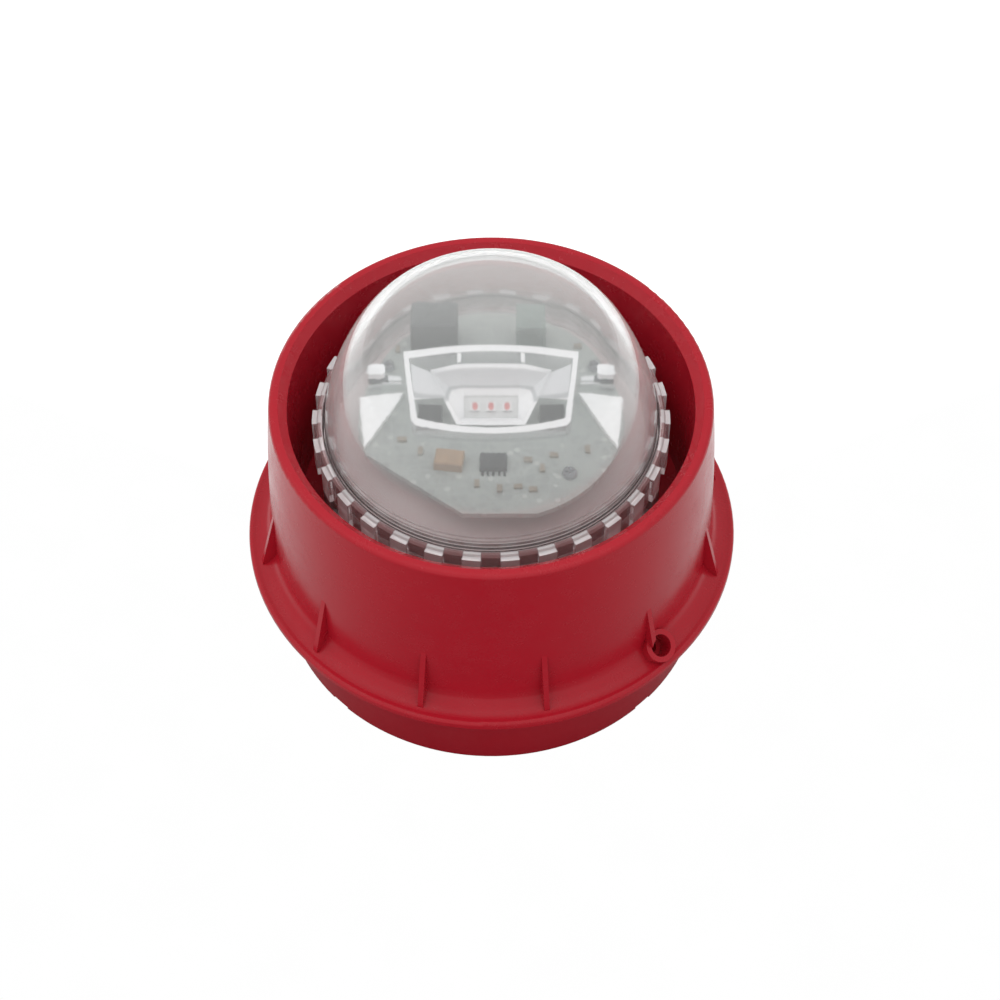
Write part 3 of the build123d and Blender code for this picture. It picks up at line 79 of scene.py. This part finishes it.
# ---------------------------------------------------------------- material helpers
class Look:
    """A node material, with short ways to add nodes. Patterns are in object space, in metres."""

    def __init__(self, name):
        self.material = bpy.data.materials.new(name)
        self.material.use_nodes = True
        self.tree = self.material.node_tree
        self.tree.nodes.clear()
        self.output = self.node("ShaderNodeOutputMaterial")
        self.shader = self.node("ShaderNodeBsdfPrincipled")
        self.wire(self.shader.outputs[0], self.output.inputs["Surface"])
        self.place = self.node("ShaderNodeTexCoord").outputs["Object"]

    def node(self, kind, **settings):
        made = self.tree.nodes.new(kind)
        for key, value in settings.items():
            setattr(made, key, value)
        return made

    def wire(self, source, target):
        self.tree.links.new(source, target)

    def set(self, **values):
        """Constant values on the shader's own sockets; an underscore stands for a space."""
        for key, value in values.items():
            self.shader.inputs[key.replace("_", " ")].default_value = value

    def axes(self, source=None):
        """The three parts of a vector, by default of the place in object space."""
        split = self.node("ShaderNodeSeparateXYZ")
        self.wire(source or self.place, split.inputs[0])
        return split.outputs["X"], split.outputs["Y"], split.outputs["Z"]

    def stretched(self, scale, offset=(0, 0, 0)):
        """The place in object space, scaled and moved."""
        mapping = self.node("ShaderNodeMapping")
        mapping.inputs["Scale"].default_value = scale
        mapping.inputs["Location"].default_value = offset
        self.wire(self.place, mapping.inputs["Vector"])
        return mapping.outputs[0]

    def noise(self, scale, detail=3.0, rough=0.5, stretch=None):
        """Noise whose scale is in cells per metre."""
        made = self.node("ShaderNodeTexNoise")
        made.inputs["Scale"].default_value = scale
        made.inputs["Detail"].default_value = detail
        made.inputs["Roughness"].default_value = rough
        self.wire(self.stretched(stretch) if stretch else self.place, made.inputs["Vector"])
        return made.outputs["Fac"]

    def ramp(self, source, stops):
        """Colour ramp from (position, colour) stops."""
        made = self.node("ShaderNodeValToRGB")
        elements = made.color_ramp.elements
        while len(elements) < len(stops):
            elements.new(0.5)
        for element, (position, colour) in zip(elements, stops):
            element.position = position
            element.color = (*colour, 1)
        self.wire(source, made.inputs[0])
        return made.outputs[0]

    def range(self, source, low, high, start=0.0, end=1.0):
        """A value that goes from low to high as the source goes from start to end, and stays there."""
        made = self.node("ShaderNodeMapRange")
        made.inputs["From Min"].default_value = start
        made.inputs["From Max"].default_value = end
        made.inputs["To Min"].default_value = low
        made.inputs["To Max"].default_value = high
        self.wire(source, made.inputs["Value"])
        return made.outputs[0]

    def mix(self, factor, a, b, blend="MIX"):
        made = self.node("ShaderNodeMix", data_type="RGBA", blend_type=blend)
        for value, key in ((factor, 0), (a, 6), (b, 7)):      # a colour mix reads inputs 0, 6 and 7
            if isinstance(value, bpy.types.NodeSocket):
                self.wire(value, made.inputs[key])
            elif key == 0:
                made.inputs[0].default_value = value
            else:
                made.inputs[key].default_value = (*value, 1)
        return made.outputs[2]

    def math(self, operation, a, b=0.0):
        made = self.node("ShaderNodeMath", operation=operation)
        for value, key in ((a, 0), (b, 1)):
            if isinstance(value, bpy.types.NodeSocket):
                self.wire(value, made.inputs[key])
            else:
                made.inputs[key].default_value = value
        return made.outputs[0]

    def apart(self, value, middle):
        """How far a value lies from a middle one."""
        return self.math("ABSOLUTE", self.math("SUBTRACT", value, middle))

    def length(self, a, b):
        """Length of a flat vector."""
        squares = self.math("ADD", self.math("MULTIPLY", a, a), self.math("MULTIPLY", b, b))
        return self.math("SQRT", squares)

    def bump(self, height, depth, strength=1.0):
        made = self.node("ShaderNodeBump")
        made.inputs["Strength"].default_value = strength
        made.inputs["Distance"].default_value = depth
        self.wire(height, made.inputs["Height"])
        self.wire(made.outputs[0], self.shader.inputs["Normal"])

    def colour(self, source):
        self.wire(source, self.shader.inputs["Base Color"])

    def roughness(self, source):
        self.wire(source, self.shader.inputs["Roughness"])

    def lay_over(self, amount, other):
        """Mixes another shader over the one that reaches the output."""
        blend = self.node("ShaderNodeMixShader")
        self.wire(amount, blend.inputs[0])
        self.wire(self.output.inputs["Surface"].links[0].from_socket, blend.inputs[1])
        self.wire(other, blend.inputs[2])
        self.wire(blend.outputs[0], self.output.inputs["Surface"])

    def veil(self, amount, colour):
        """Lays a share of plain diffuse colour over the shader."""
        diffuse = self.node("ShaderNodeBsdfDiffuse")
        self.wire(colour, diffuse.inputs["Color"])
        self.lay_over(amount, diffuse.outputs[0])


def grey(value):
    return (value, value, value)


def shade(colour, factor):
    """A colour made darker or lighter."""
    return tuple(min(1.0, c * factor) for c in colour)


# ---------------------------------------------------------------- opaque materials
# scales are in cells per metre, depths in millimetres
FLOW_SCALE = 38               # slow drift in the tone of moulded plastic
FLECK_SCALE = 1500
SCUFF_SCALE = 160
MOULD_GRAIN_SCALE = 2600


def moulded(name, colour, rough, grain=0.012, specular=0.5, flow=0.10):
    """Injection-moulded plastic: faint flow marks in its tone, fine spark-eroded grain, uneven gloss."""
    look = Look(name)
    drift = look.noise(FLOW_SCALE, detail=4, rough=0.55)
    flecks = look.noise(FLECK_SCALE, detail=2)
    tone = look.ramp(drift, ((0.25, shade(colour, 1 - flow)), (0.75, shade(colour, 1 + flow))))
    fleck_tone = look.ramp(flecks, ((0.3, grey(0.97)), (0.7, grey(1))))
    look.colour(look.mix(0.6, tone, fleck_tone, "MULTIPLY"))
    scuffs = look.noise(SCUFF_SCALE, detail=6, rough=0.7)
    look.roughness(look.range(scuffs, rough - 0.05, rough + 0.07, 0.3, 0.7))
    look.bump(look.noise(MOULD_GRAIN_SCALE, detail=2), grain * MM)
    look.set(Specular_IOR_Level=specular)
    return look.material


DRAWN_LINE_SCALE = 900
DRAWN_LINE_DEPTH = 0.006
TARNISH_SCALE = 220


def metal(name, colour, rough, brushed=(1, 1, 12), tarnish=0.25):
    """Plated or bare metal with fine drawing lines and a little tarnish."""
    look = Look(name)
    lines = look.noise(DRAWN_LINE_SCALE, detail=3, stretch=brushed)
    patches = look.noise(TARNISH_SCALE, detail=5, rough=0.65)
    look.colour(look.ramp(patches, ((0.3, shade(colour, 1 - tarnish)), (0.65, colour))))
    look.roughness(look.range(lines, rough - 0.08, rough + 0.12, 0.3, 0.7))
    look.bump(lines, DRAWN_LINE_DEPTH * MM)
    look.set(Metallic=1.0)
    return look.material


BLOOM_SCALE = 300
RUBBER_GRAIN_SCALE = 1800
RUBBER_GRAIN_DEPTH = 0.02


def rubber(name, colour):
    """Black rubber with a patchy grey bloom."""
    look = Look(name)
    bloom = look.noise(BLOOM_SCALE, detail=5, rough=0.7)
    look.colour(look.ramp(bloom, ((0.35, colour), (0.8, shade(colour, 1.9)))))
    look.roughness(look.range(bloom, 0.55, 0.8))
    look.bump(look.noise(RUBBER_GRAIN_SCALE, detail=3), RUBBER_GRAIN_DEPTH * MM)
    look.set(Specular_IOR_Level=0.35)
    return look.material


SAND_SCALE = 5200
SAND_DEPTH = 0.012
PATCH_SCALE = 260


def chip_case(name, colour, rough=0.45):
    """Moulded epoxy package: fine sandy grain."""
    look = Look(name)
    sand = look.noise(SAND_SCALE, detail=2)
    patch = look.noise(PATCH_SCALE, detail=4)
    tone = look.ramp(patch, ((0.3, shade(colour, 0.85)), (0.7, shade(colour, 1.2))))
    grain = look.ramp(sand, ((0.3, grey(0.8)), (0.7, grey(1))))
    look.colour(look.mix(0.5, tone, grain, "MULTIPLY"))
    look.roughness(look.range(sand, rough - 0.06, rough + 0.12))
    look.bump(sand, SAND_DEPTH * MM)
    return look.material


TRACK_PATTERNS = (            # stretch and offset of the tracks that run across, and of those along
    ((110, 420, 1), (0.3, 0.7, 0)),
    ((380, 120, 1), (0.9, 0.1, 0)),
)
TRACK_HALF = (0.05, 0.08)     # share of a cell where a track's edge fades out
VIA_SCALE = 260
VIA_RADIUS = (0.16, 0.20)
RESIST_CLOUD_SCALE = 90
COPPER_RELIEF = 0.03


def circuit_board(name, resist, copper, silk=(0.82, 0.83, 0.80)):
    """Solder resist over copper: crossing tracks between the cells of stretched patterns, round vias."""
    look = Look(name)
    tracks = []
    for stretch, offset in TRACK_PATTERNS:
        cells = look.node("ShaderNodeTexVoronoi", feature="DISTANCE_TO_EDGE", distance="EUCLIDEAN")
        cells.inputs["Scale"].default_value = 1.0
        cells.inputs["Randomness"].default_value = 0.8
        look.wire(look.stretched(stretch, offset), cells.inputs["Vector"])
        tracks.append(look.range(cells.outputs["Distance"], 1.0, 0.0, *TRACK_HALF))
    copper_mask = look.math("MAXIMUM", *tracks)
    vias = look.node("ShaderNodeTexVoronoi", feature="F1")
    vias.inputs["Scale"].default_value = VIA_SCALE
    look.wire(look.place, vias.inputs["Vector"])
    pads = look.range(vias.outputs["Distance"], 1.0, 0.0, *VIA_RADIUS)
    cloud = look.noise(RESIST_CLOUD_SCALE, detail=4)
    base = look.ramp(cloud, ((0.3, shade(resist, 0.88)), (0.7, shade(resist, 1.12))))
    over = look.mix(look.math("MULTIPLY", copper_mask, 0.55), base, copper)
    look.colour(look.mix(look.math("MULTIPLY", pads, 0.7), over, silk))
    look.roughness(look.range(cloud, 0.28, 0.42))
    look.bump(look.math("ADD", copper_mask, pads), COPPER_RELIEF * MM, 0.6)
    return look.material


LED_PITCH = 3.7               # mm, as are the other sizes of a light source here
LED_WINDOW = (0.55, 0.75)
LED_SOLDER = (0.95, 1.05)
LED_GRAIN_SCALE = 2400
LED_GRAIN_DEPTH = 0.006


def led_look(name):
    """White light source packages, each with a round pink phosphor window and grey solder at its ends."""
    low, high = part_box("leds")
    look = Look(name)
    x, y, _ = look.axes()
    step = look.math("ADD", look.math("DIVIDE", x, LED_PITCH * MM), 0.5)
    across = look.math("MULTIPLY", look.math("SUBTRACT", look.math("FRACT", step), 0.5), LED_PITCH)
    up = look.math("MULTIPLY", look.math("SUBTRACT", y, (low[1] + high[1]) / 2), 1 / MM)
    grain = look.noise(LED_GRAIN_SCALE, detail=2)
    case = look.ramp(grain, ((0.3, (0.74, 0.72, 0.72)), (0.7, (0.84, 0.83, 0.83))))
    window = look.range(look.length(across, up), 1.0, 0.0, *LED_WINDOW)
    solder = look.range(look.math("ABSOLUTE", up), 0.0, 1.0, *LED_SOLDER)
    face = look.mix(window, case, (0.66, 0.20, 0.19))
    look.colour(look.mix(solder, face, (0.10, 0.10, 0.11)))
    look.roughness(look.range(grain, 0.25, 0.4))
    look.bump(grain, LED_GRAIN_DEPTH * MM)
    return look.material


MIRROR_BANDS = (              # share of the reflector's height, and the tone from there up
    (0.00, (0.88, 0.88, 0.89)),
    (0.40, (0.96, 0.96, 0.96)),
    (0.50, (0.94, 0.94, 0.94)),
    (0.53, (0.50, 0.51, 0.52)),
    (0.57, (0.50, 0.51, 0.52)),
    (0.60, (0.72, 0.73, 0.74)),
    (0.90, (0.66, 0.67, 0.68)),
    (0.96, (0.90, 0.90, 0.90)),
)
BAND_WANDER_SCALE = 420
BAND_WANDER = 0.012
MIRROR_GRAIN_DEPTH = 0.004


def stepped_mirror(name):
    """Bright white reflector with a grey line where its upper facets start, and a greyer upper band."""
    low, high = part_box("reflector")
    look = Look(name)
    height = look.range(look.axes()[2], 0.0, 1.0, low[2], high[2])
    wander = look.range(look.noise(BAND_WANDER_SCALE, detail=3), -BAND_WANDER, BAND_WANDER)
    bands = look.ramp(look.math("ADD", height, wander), MIRROR_BANDS)
    fine = look.ramp(look.noise(FLECK_SCALE, detail=2), ((0.3, grey(0.95)), (0.7, grey(1))))
    look.colour(look.mix(0.5, bands, fine, "MULTIPLY"))
    scuffs = look.noise(SCUFF_SCALE, detail=6, rough=0.7)
    look.roughness(look.range(scuffs, 0.14, 0.26, 0.3, 0.7))
    look.bump(look.noise(MOULD_GRAIN_SCALE, detail=2), MIRROR_GRAIN_DEPTH * MM)
    return look.material


# ---------------------------------------------------------------- clear materials
DUST_SCALE = 900
RIPPLE_SCALE = 45
RIPPLE_DEPTH = 0.015
POLYCARBONATE_IOR = 1.585
ACRYLIC_IOR = 1.49


def lets_lamps_through(look, tint):
    """Adds a stand-in that lets lamp light straight through clear plastic, so what is inside is lit."""
    path = look.node("ShaderNodeLightPath")
    clear = look.node("ShaderNodeBsdfTransparent")
    clear.inputs["Color"].default_value = (*tint, 1)
    either = look.math("MAXIMUM", path.outputs["Is Shadow Ray"], path.outputs["Is Diffuse Ray"])
    look.lay_over(either, clear.outputs[0])


def clear_plastic(name, tint, rough, haze, haze_colour):
    """Clear polycarbonate: glass with a share of pale haze, and faint moulding ripples."""
    look = Look(name)
    ripple = look.noise(RIPPLE_SCALE, detail=2)
    dust = look.noise(DUST_SCALE, detail=4, rough=0.6)
    look.set(Transmission_Weight=1.0, IOR=POLYCARBONATE_IOR)
    look.colour(look.ramp(dust, ((0.3, shade(tint, 0.97)), (0.7, tint))))
    look.roughness(look.range(dust, rough, rough + 0.03, 0.3, 0.7))
    look.bump(ripple, RIPPLE_DEPTH * MM, 0.5)
    dusty = look.ramp(dust, ((0.2, shade(haze_colour, 0.97)), (0.8, haze_colour)))
    look.veil(*haze(look, dusty))
    lets_lamps_through(look, tint)
    return look.material


DOME_HAZE = (0.115, 0.215)    # share of haze, at the front and at the back
DOME_HAZE_Y = (-0.006, 0.018)
FOOT_LINES = (                # dark lines of painted shade round the dome's foot: mm up, half width in mm, strength
    (67.35, 0.35, 1.0),
    (69.6, 0.22, 0.6),
)
FOOT_LINE_FADE = 0.15
FOOT_LINE_PAINTED_SHADE = (0.06, 0.055, 0.055)


def dome_haze_and_painted_shade(look, colour):
    """Thin haze, thicker towards the back, with two dark lines of painted shade round the foot of the dome.
    """
    _, y, z = look.axes()
    haze = look.range(y, *DOME_HAZE, *DOME_HAZE_Y)
    height = look.math("MULTIPLY", z, 1 / MM)
    lines = 0.0
    for middle, half, strength in FOOT_LINES:
        near = look.range(look.apart(height, middle), 1.0, 0.0, half, half + FOOT_LINE_FADE)
        lines = look.math("MAXIMUM", lines, look.math("MULTIPLY", near, strength))
    # the foot lines are painted shade: a share of near-black colour laid over the dome
    amount = look.math("MAXIMUM", haze, look.math("MULTIPLY", lines, 0.75))
    return amount, look.mix(lines, colour, FOOT_LINE_PAINTED_SHADE)


RING_TEETH = 30
WHOLE_TURNS = 100.5           # keeps the count of teeth above zero, with a tooth's middle at one half
TOOTH_EDGE = (0.22, 0.27)     # share of the pitch from a tooth's middle to its edge
TEETH_FROM_R = (40.1, 40.35)  # mm
GROOVE_TO_R = (39.95, 40.1)
# painted light: a highlight on the teeth, shade in the gaps between them, and dark shade in the groove
TOOTH_PAINTED_HIGHLIGHT = (0.88, 0.85, 0.85)
TOOTH_GAP_PAINTED_SHADE = (0.36, 0.21, 0.21)
GROOVE_PAINTED_SHADE = (0.05, 0.03, 0.03)


def ring_haze_and_painted_light(look, colour):
    """Castellated ring: a painted highlight makes its teeth whiter than the pink gaps between them, which
    carry painted shade, and the groove inside the teeth is painted dark shade.
    """
    x, y, _ = look.axes()
    radius = look.math("MULTIPLY", look.length(x, y), 1 / MM)
    turn = look.math("MULTIPLY", look.math("ARCTAN2", y, x), RING_TEETH / math.tau)
    from_tooth = look.apart(look.math("FRACT", look.math("ADD", turn, WHOLE_TURNS)), 0.5)
    tooth = look.range(from_tooth, 1.0, 0.0, *TOOTH_EDGE)
    outside = look.range(radius, 0.0, 1.0, *TEETH_FROM_R)
    groove = look.range(radius, 1.0, 0.0, *GROOVE_TO_R)
    # the teeth get a painted highlight, the gaps painted shade, and the groove painted dark shade
    white = look.math("MULTIPLY", tooth, outside)
    shadowed = look.math("MULTIPLY", look.math("SUBTRACT", 1.0, tooth), outside)
    toned = look.mix(white, colour, TOOTH_PAINTED_HIGHLIGHT)
    toned = look.mix(shadowed, toned, TOOTH_GAP_PAINTED_SHADE)
    toned = look.mix(groove, toned, GROOVE_PAINTED_SHADE)
    amount = look.range(white, 0.20, 0.50)
    for mask, share in ((shadowed, 0.55), (groove, 0.8)):
        amount = look.math("MAXIMUM", amount, look.math("MULTIPLY", mask, share))
    return amount, toned


RIM_LEAN = math.radians(31)   # how far the optic's top edge leans forward
FROST_SHARE = (0.22, 0.92)
FROST_LEAN = (0.80, 0.97)     # cosine to the rim's direction where the frost starts to grow and is full
SAWN_SCALE = 120
SAWN_DEPTH = 0.02
POST_FROM_X = 24.8            # mm: snap posts stand outside this, with a head above a gap of painted shade
HEAD_UNDER = 72.9
GAP_LOW = 70.4
GAP_FADE = 0.3
POST_GAP_PAINTED_SHADE = (0.035, 0.04, 0.045)


def frosted_edges(name, tint):
    """Clear acrylic whose sawn top edge, the face that leans like the optic's rim, is frosted white."""
    look = Look(name)
    dust = look.noise(DUST_SCALE, detail=4, rough=0.6)
    look.set(Transmission_Weight=1.0, IOR=ACRYLIC_IOR)
    look.colour(look.ramp(dust, ((0.3, shade(tint, 0.97)), (0.7, tint))))
    look.roughness(look.range(dust, 0.03, 0.06, 0.3, 0.7))
    look.bump(look.noise(SAWN_SCALE, detail=2), SAWN_DEPTH * MM, 0.5)
    lean = look.node("ShaderNodeVectorMath", operation="DOT_PRODUCT")
    look.wire(look.node("ShaderNodeNewGeometry").outputs["Normal"], lean.inputs[0])
    lean.inputs[1].default_value = (0, -math.sin(RIM_LEAN), math.cos(RIM_LEAN))
    frost = look.range(lean.outputs["Value"], *FROST_SHARE, *FROST_LEAN)
    # the snap posts beside it: white hooked heads, and painted shade in the gap under each head
    x, _, z = look.axes()
    beside = look.math("GREATER_THAN", look.math("ABSOLUTE", x), POST_FROM_X * MM)
    head = look.math("MULTIPLY", beside, look.math("GREATER_THAN", z, HEAD_UNDER * MM))
    from_gap_up = look.range(z, 0.0, 1.0, GAP_LOW * MM, (GAP_LOW + GAP_FADE) * MM)
    under = look.math("MULTIPLY", beside, from_gap_up)
    # painted shade: a dark colour laid in the gap under each post's head
    post_gap_painted_shade = look.math("MULTIPLY", under, look.math("SUBTRACT", 1.0, head))
    frost = look.math("MAXIMUM", frost, look.math("MULTIPLY", under, 0.85))
    white = look.ramp(dust, ((0.2, grey(0.90)), (0.8, grey(0.97))))
    look.veil(frost, look.mix(post_gap_painted_shade, white, POST_GAP_PAINTED_SHADE))
    lets_lamps_through(look, tint)
    return look.material


# ---------------------------------------------------------------- finishes, one for each material slot
RED = (0.425, 0.0085, 0.020)
LOOKS = {
    "red_base": moulded("red_abs_base", shade(RED, 0.85), 0.40, grain=0.004, specular=0.35, flow=0.04),
    "red_housing": moulded("red_abs_housing", RED, 0.24, grain=0.002, specular=0.5, flow=0.03),
    # the pink tint in this pale plastic's colour is painted reflection of the red housing
    "chassis_plastic": moulded("pale_polycarbonate", (0.52, 0.455, 0.445), 0.5, flow=0.06),
    "grey_cover": moulded("dark_grey_abs", (0.085, 0.088, 0.092), 0.52, grain=0.02),
    "black_plastic": moulded("black_acetal", (0.014, 0.014, 0.016), 0.42),
    "ivory_polyamide": moulded("natural_polyamide", (0.62, 0.56, 0.42), 0.45),
    "black_rubber": rubber("nitrile_rubber", (0.016, 0.016, 0.017)),
    "zinc_steel": metal("zinc_plated_steel", (0.63, 0.65, 0.69), 0.30),
    "brass": metal("tinned_brass", (0.74, 0.60, 0.33), 0.32),
    "spring_bronze": metal("phosphor_bronze", (0.70, 0.44, 0.24), 0.30),
    "green_board": circuit_board("green_solder_resist", (0.012, 0.095, 0.035), (0.05, 0.22, 0.07)),
    "beacon_board": circuit_board(
        "grey_solder_resist", (0.29, 0.31, 0.295), (0.35, 0.375, 0.35), silk=(0.46, 0.47, 0.45)
    ),
    "white_board": moulded("white_solder_resist", (0.72, 0.72, 0.71), 0.35, flow=0.05),
    "chip_black": chip_case("black_epoxy", (0.016, 0.018, 0.022)),
    "capacitor_can": metal("aluminium_can", (0.66, 0.67, 0.69), 0.34, tarnish=0.15),
    "copper_coil": metal("enamelled_copper", (0.52, 0.20, 0.075), 0.38, brushed=(1, 1, 40)),
    "switch_blue": moulded("blue_thermoplastic", (0.018, 0.060, 0.22), 0.42),
    "switch_red": moulded("red_thermoplastic", (0.30, 0.012, 0.012), 0.42),
    "switch_white": moulded("white_thermoplastic", (0.70, 0.70, 0.67), 0.42),
    "piezo_white": metal("silvered_ceramic", (0.78, 0.76, 0.70), 0.55, tarnish=0.12),
    "led_package": led_look("led_package_white"),
    "aluminium": metal(
        "extruded_aluminium", (0.72, 0.73, 0.75), 0.36, brushed=(30, 1, 1), tarnish=0.12
    ),
    "ferrite_grey": chip_case("ferrite", (0.042, 0.045, 0.048), 0.55),
    "green_lacquer": chip_case("lacquered_transformer", (0.15, 0.19, 0.17)),
    "tantalum_orange": chip_case("tantalum_case", (0.34, 0.21, 0.11)),
    "chip_ceramic": chip_case("ceramic_chips", (0.26, 0.22, 0.17), 0.42),
    "white_reflector": stepped_mirror("white_reflector_plastic"),
    "white_wing": moulded("white_wing_plastic", (0.93, 0.93, 0.92), 0.26, grain=0.004, flow=0.02),
    "clear_lens": clear_plastic(
        "clear_lens_plastic", (0.97, 0.97, 0.975), 0.05, dome_haze_and_painted_shade, (0.90, 0.92, 0.90)
    ),
    "clear_ring": clear_plastic(
        "clear_ring_plastic", (0.96, 0.92, 0.925), 0.10, ring_haze_and_painted_light, (0.80, 0.70, 0.70)
    ),
    "clear_optic": frosted_edges("clear_optic_acrylic", (0.96, 0.975, 0.98)),
}
for node in NODES.values():
    slot_name = node.data.materials[0].name
    node.data.materials.clear()
    node.data.materials.append(LOOKS[slot_name])
    smooth(node)


# ---------------------------------------------------------------- side facets of the reflector
FACET_T = 0.5                 # mm
FACET_EDGE = 0.12
FACET_CORNERS = (             # mm, right side: two on the funnel's lip, two on the optic's wall
    (13.0, 2.9, 78.5),
    (18.6, 5.6, 78.9),
    (17.9, -1.6, 74.6),
    (10.5, -1.3, 75.3),
)


def reflector_facet(name, side):
    """Thin white sheet that joins the funnel to the optic's side wall; side is -1 for left, 1 for right."""
    top = [Vector((side * x, y, z)) * MM for x, y, z in FACET_CORNERS]
    drop = (top[1] - top[0]).cross(top[3] - top[0]).normalized() * (side * FACET_T * MM)

    def build(shape):
        upper = [shape.verts.new(p) for p in top]
        lower = [shape.verts.new(p + drop) for p in top]
        shape.faces.new(upper)
        shape.faces.new(lower[::-1])
        for i in range(len(top)):
            j = (i + 1) % len(top)
            shape.faces.new((upper[i], lower[i], lower[j], upper[j]))

    facet = mesh_from(name, build)
    bevel(facet, FACET_EDGE * MM, 2)
    facet.data.materials.append(LOOKS["white_reflector"])
    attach(facet, "head")
    smooth(facet)


reflector_facet("reflector_facet_left", -1)
reflector_facet("reflector_facet_right", 1)


# ---------------------------------------------------------------- room
FLOOR_SIZE = 3.0
FLOOR_BACK = 0.66             # share of the light that the floor throws back on the object
BEHIND_GLOSS = 1.4            # what gloss mirrors straight behind; straight in front it is none
SKY = 0.82                    # what the white tent round the studio gives to the object
MIRRORED_SKY = 0.38


def floor_look():
    """Pale sweep, burnt out to white where it is seen directly, which throws back part of the light."""
    look = Look("studio_floor")
    grain = look.noise(60, detail=3)
    look.colour(look.ramp(grain, ((0.2, grey(FLOOR_BACK)), (0.8, grey(FLOOR_BACK * 1.04)))))
    look.set(Roughness=0.9, Specular_IOR_Level=0.0)
    # gloss mirrors a lit sweep behind and beside the object, and the dark end of the room in front
    way = look.node("ShaderNodeVectorMath", operation="NORMALIZE")
    look.wire(look.place, way.inputs[0])
    mirrored = look.range(look.axes(way.outputs[0])[1], 0.0, BEHIND_GLOSS, -1.0, 1.0)
    path = look.node("ShaderNodeLightPath")
    white = look.node("ShaderNodeEmission")
    look.wire(look.ramp(grain, ((0.2, grey(0.992)), (0.6, grey(1.0)))), white.inputs["Color"])
    strength = look.math("MAXIMUM", mirrored, path.outputs["Is Camera Ray"])
    look.wire(strength, white.inputs["Strength"])
    either = look.math("MAXIMUM", path.outputs["Is Camera Ray"], path.outputs["Is Glossy Ray"])
    look.lay_over(either, white.outputs[0])
    return look.material


world = bpy.data.worlds.new("studio")
world.use_nodes = True
sky_nodes = world.node_tree.nodes
sky_links = world.node_tree.links
backdrop = sky_nodes["Background"]
backdrop.inputs["Color"].default_value = (1, 1, 1, 1)
seen = sky_nodes.new("ShaderNodeLightPath")
level = sky_nodes.new("ShaderNodeMapRange")
level.inputs["To Min"].default_value = SKY
level.inputs["To Max"].default_value = 1.0
dimmed = sky_nodes.new("ShaderNodeMapRange")
dimmed.inputs["To Max"].default_value = MIRRORED_SKY
sky_links.new(seen.outputs["Is Camera Ray"], level.inputs["Value"])
sky_links.new(seen.outputs["Is Glossy Ray"], dimmed.inputs["Value"])
sky_links.new(level.outputs[0], dimmed.inputs["To Min"])
sky_links.new(dimmed.outputs[0], backdrop.inputs["Strength"])
bpy.context.scene.world = world

floor = mesh_from(
    "floor",
    lambda shape: bmesh.ops.create_grid(shape, x_segments=1, y_segments=1, size=FLOOR_SIZE),
)
floor.data.materials.append(floor_look())


# ---------------------------------------------------------------- lamps and camera
LAMPS = (                     # name, place, target, side, watts
    ("key", (-0.60, 0.05, 0.85), (0, 0, 0.05), 0.9, 2.1),
    ("top", (0.15, -0.10, 0.95), (0, 0, 0.07), 0.8, 1.9),
)
for lamp_name, place, target, side, power in LAMPS:
    light = bpy.data.lights.new(lamp_name, "AREA")
    light.shape = "RECTANGLE"
    light.size = light.size_y = side
    light.energy = power
    lamp = bpy.data.objects.new(lamp_name, light)
    lamp.location = place
    lamp.rotation_euler = (Vector(target) - Vector(place)).to_track_quat("-Z", "Y").to_euler()
    lamp.visible_glossy = False
    lamp.visible_transmission = False
    bpy.context.scene.collection.objects.link(lamp)

ELEVATION = math.radians(52.3)
TARGET = Vector((0.0021, 0, 0.0345))
DISTANCE = 0.600
LENS = 87.37                  # mm, on a sensor 36 mm wide
SENSOR = 36
NEAREST = 0.01
toward = Vector((0, -math.cos(ELEVATION), math.sin(ELEVATION)))
view_camera = bpy.data.objects.new("camera", bpy.data.cameras.new("camera"))
view_camera.data.lens = LENS
view_camera.data.sensor_width = SENSOR
view_camera.data.clip_start = NEAREST
view_camera.location = TARGET + toward * DISTANCE
view_camera.rotation_euler = (-toward).to_track_quat("-Z", "Y").to_euler()
bpy.context.scene.collection.objects.link(view_camera)
bpy.context.scene.camera = view_camera
bpy.context.scene.view_settings.view_transform = "Standard"
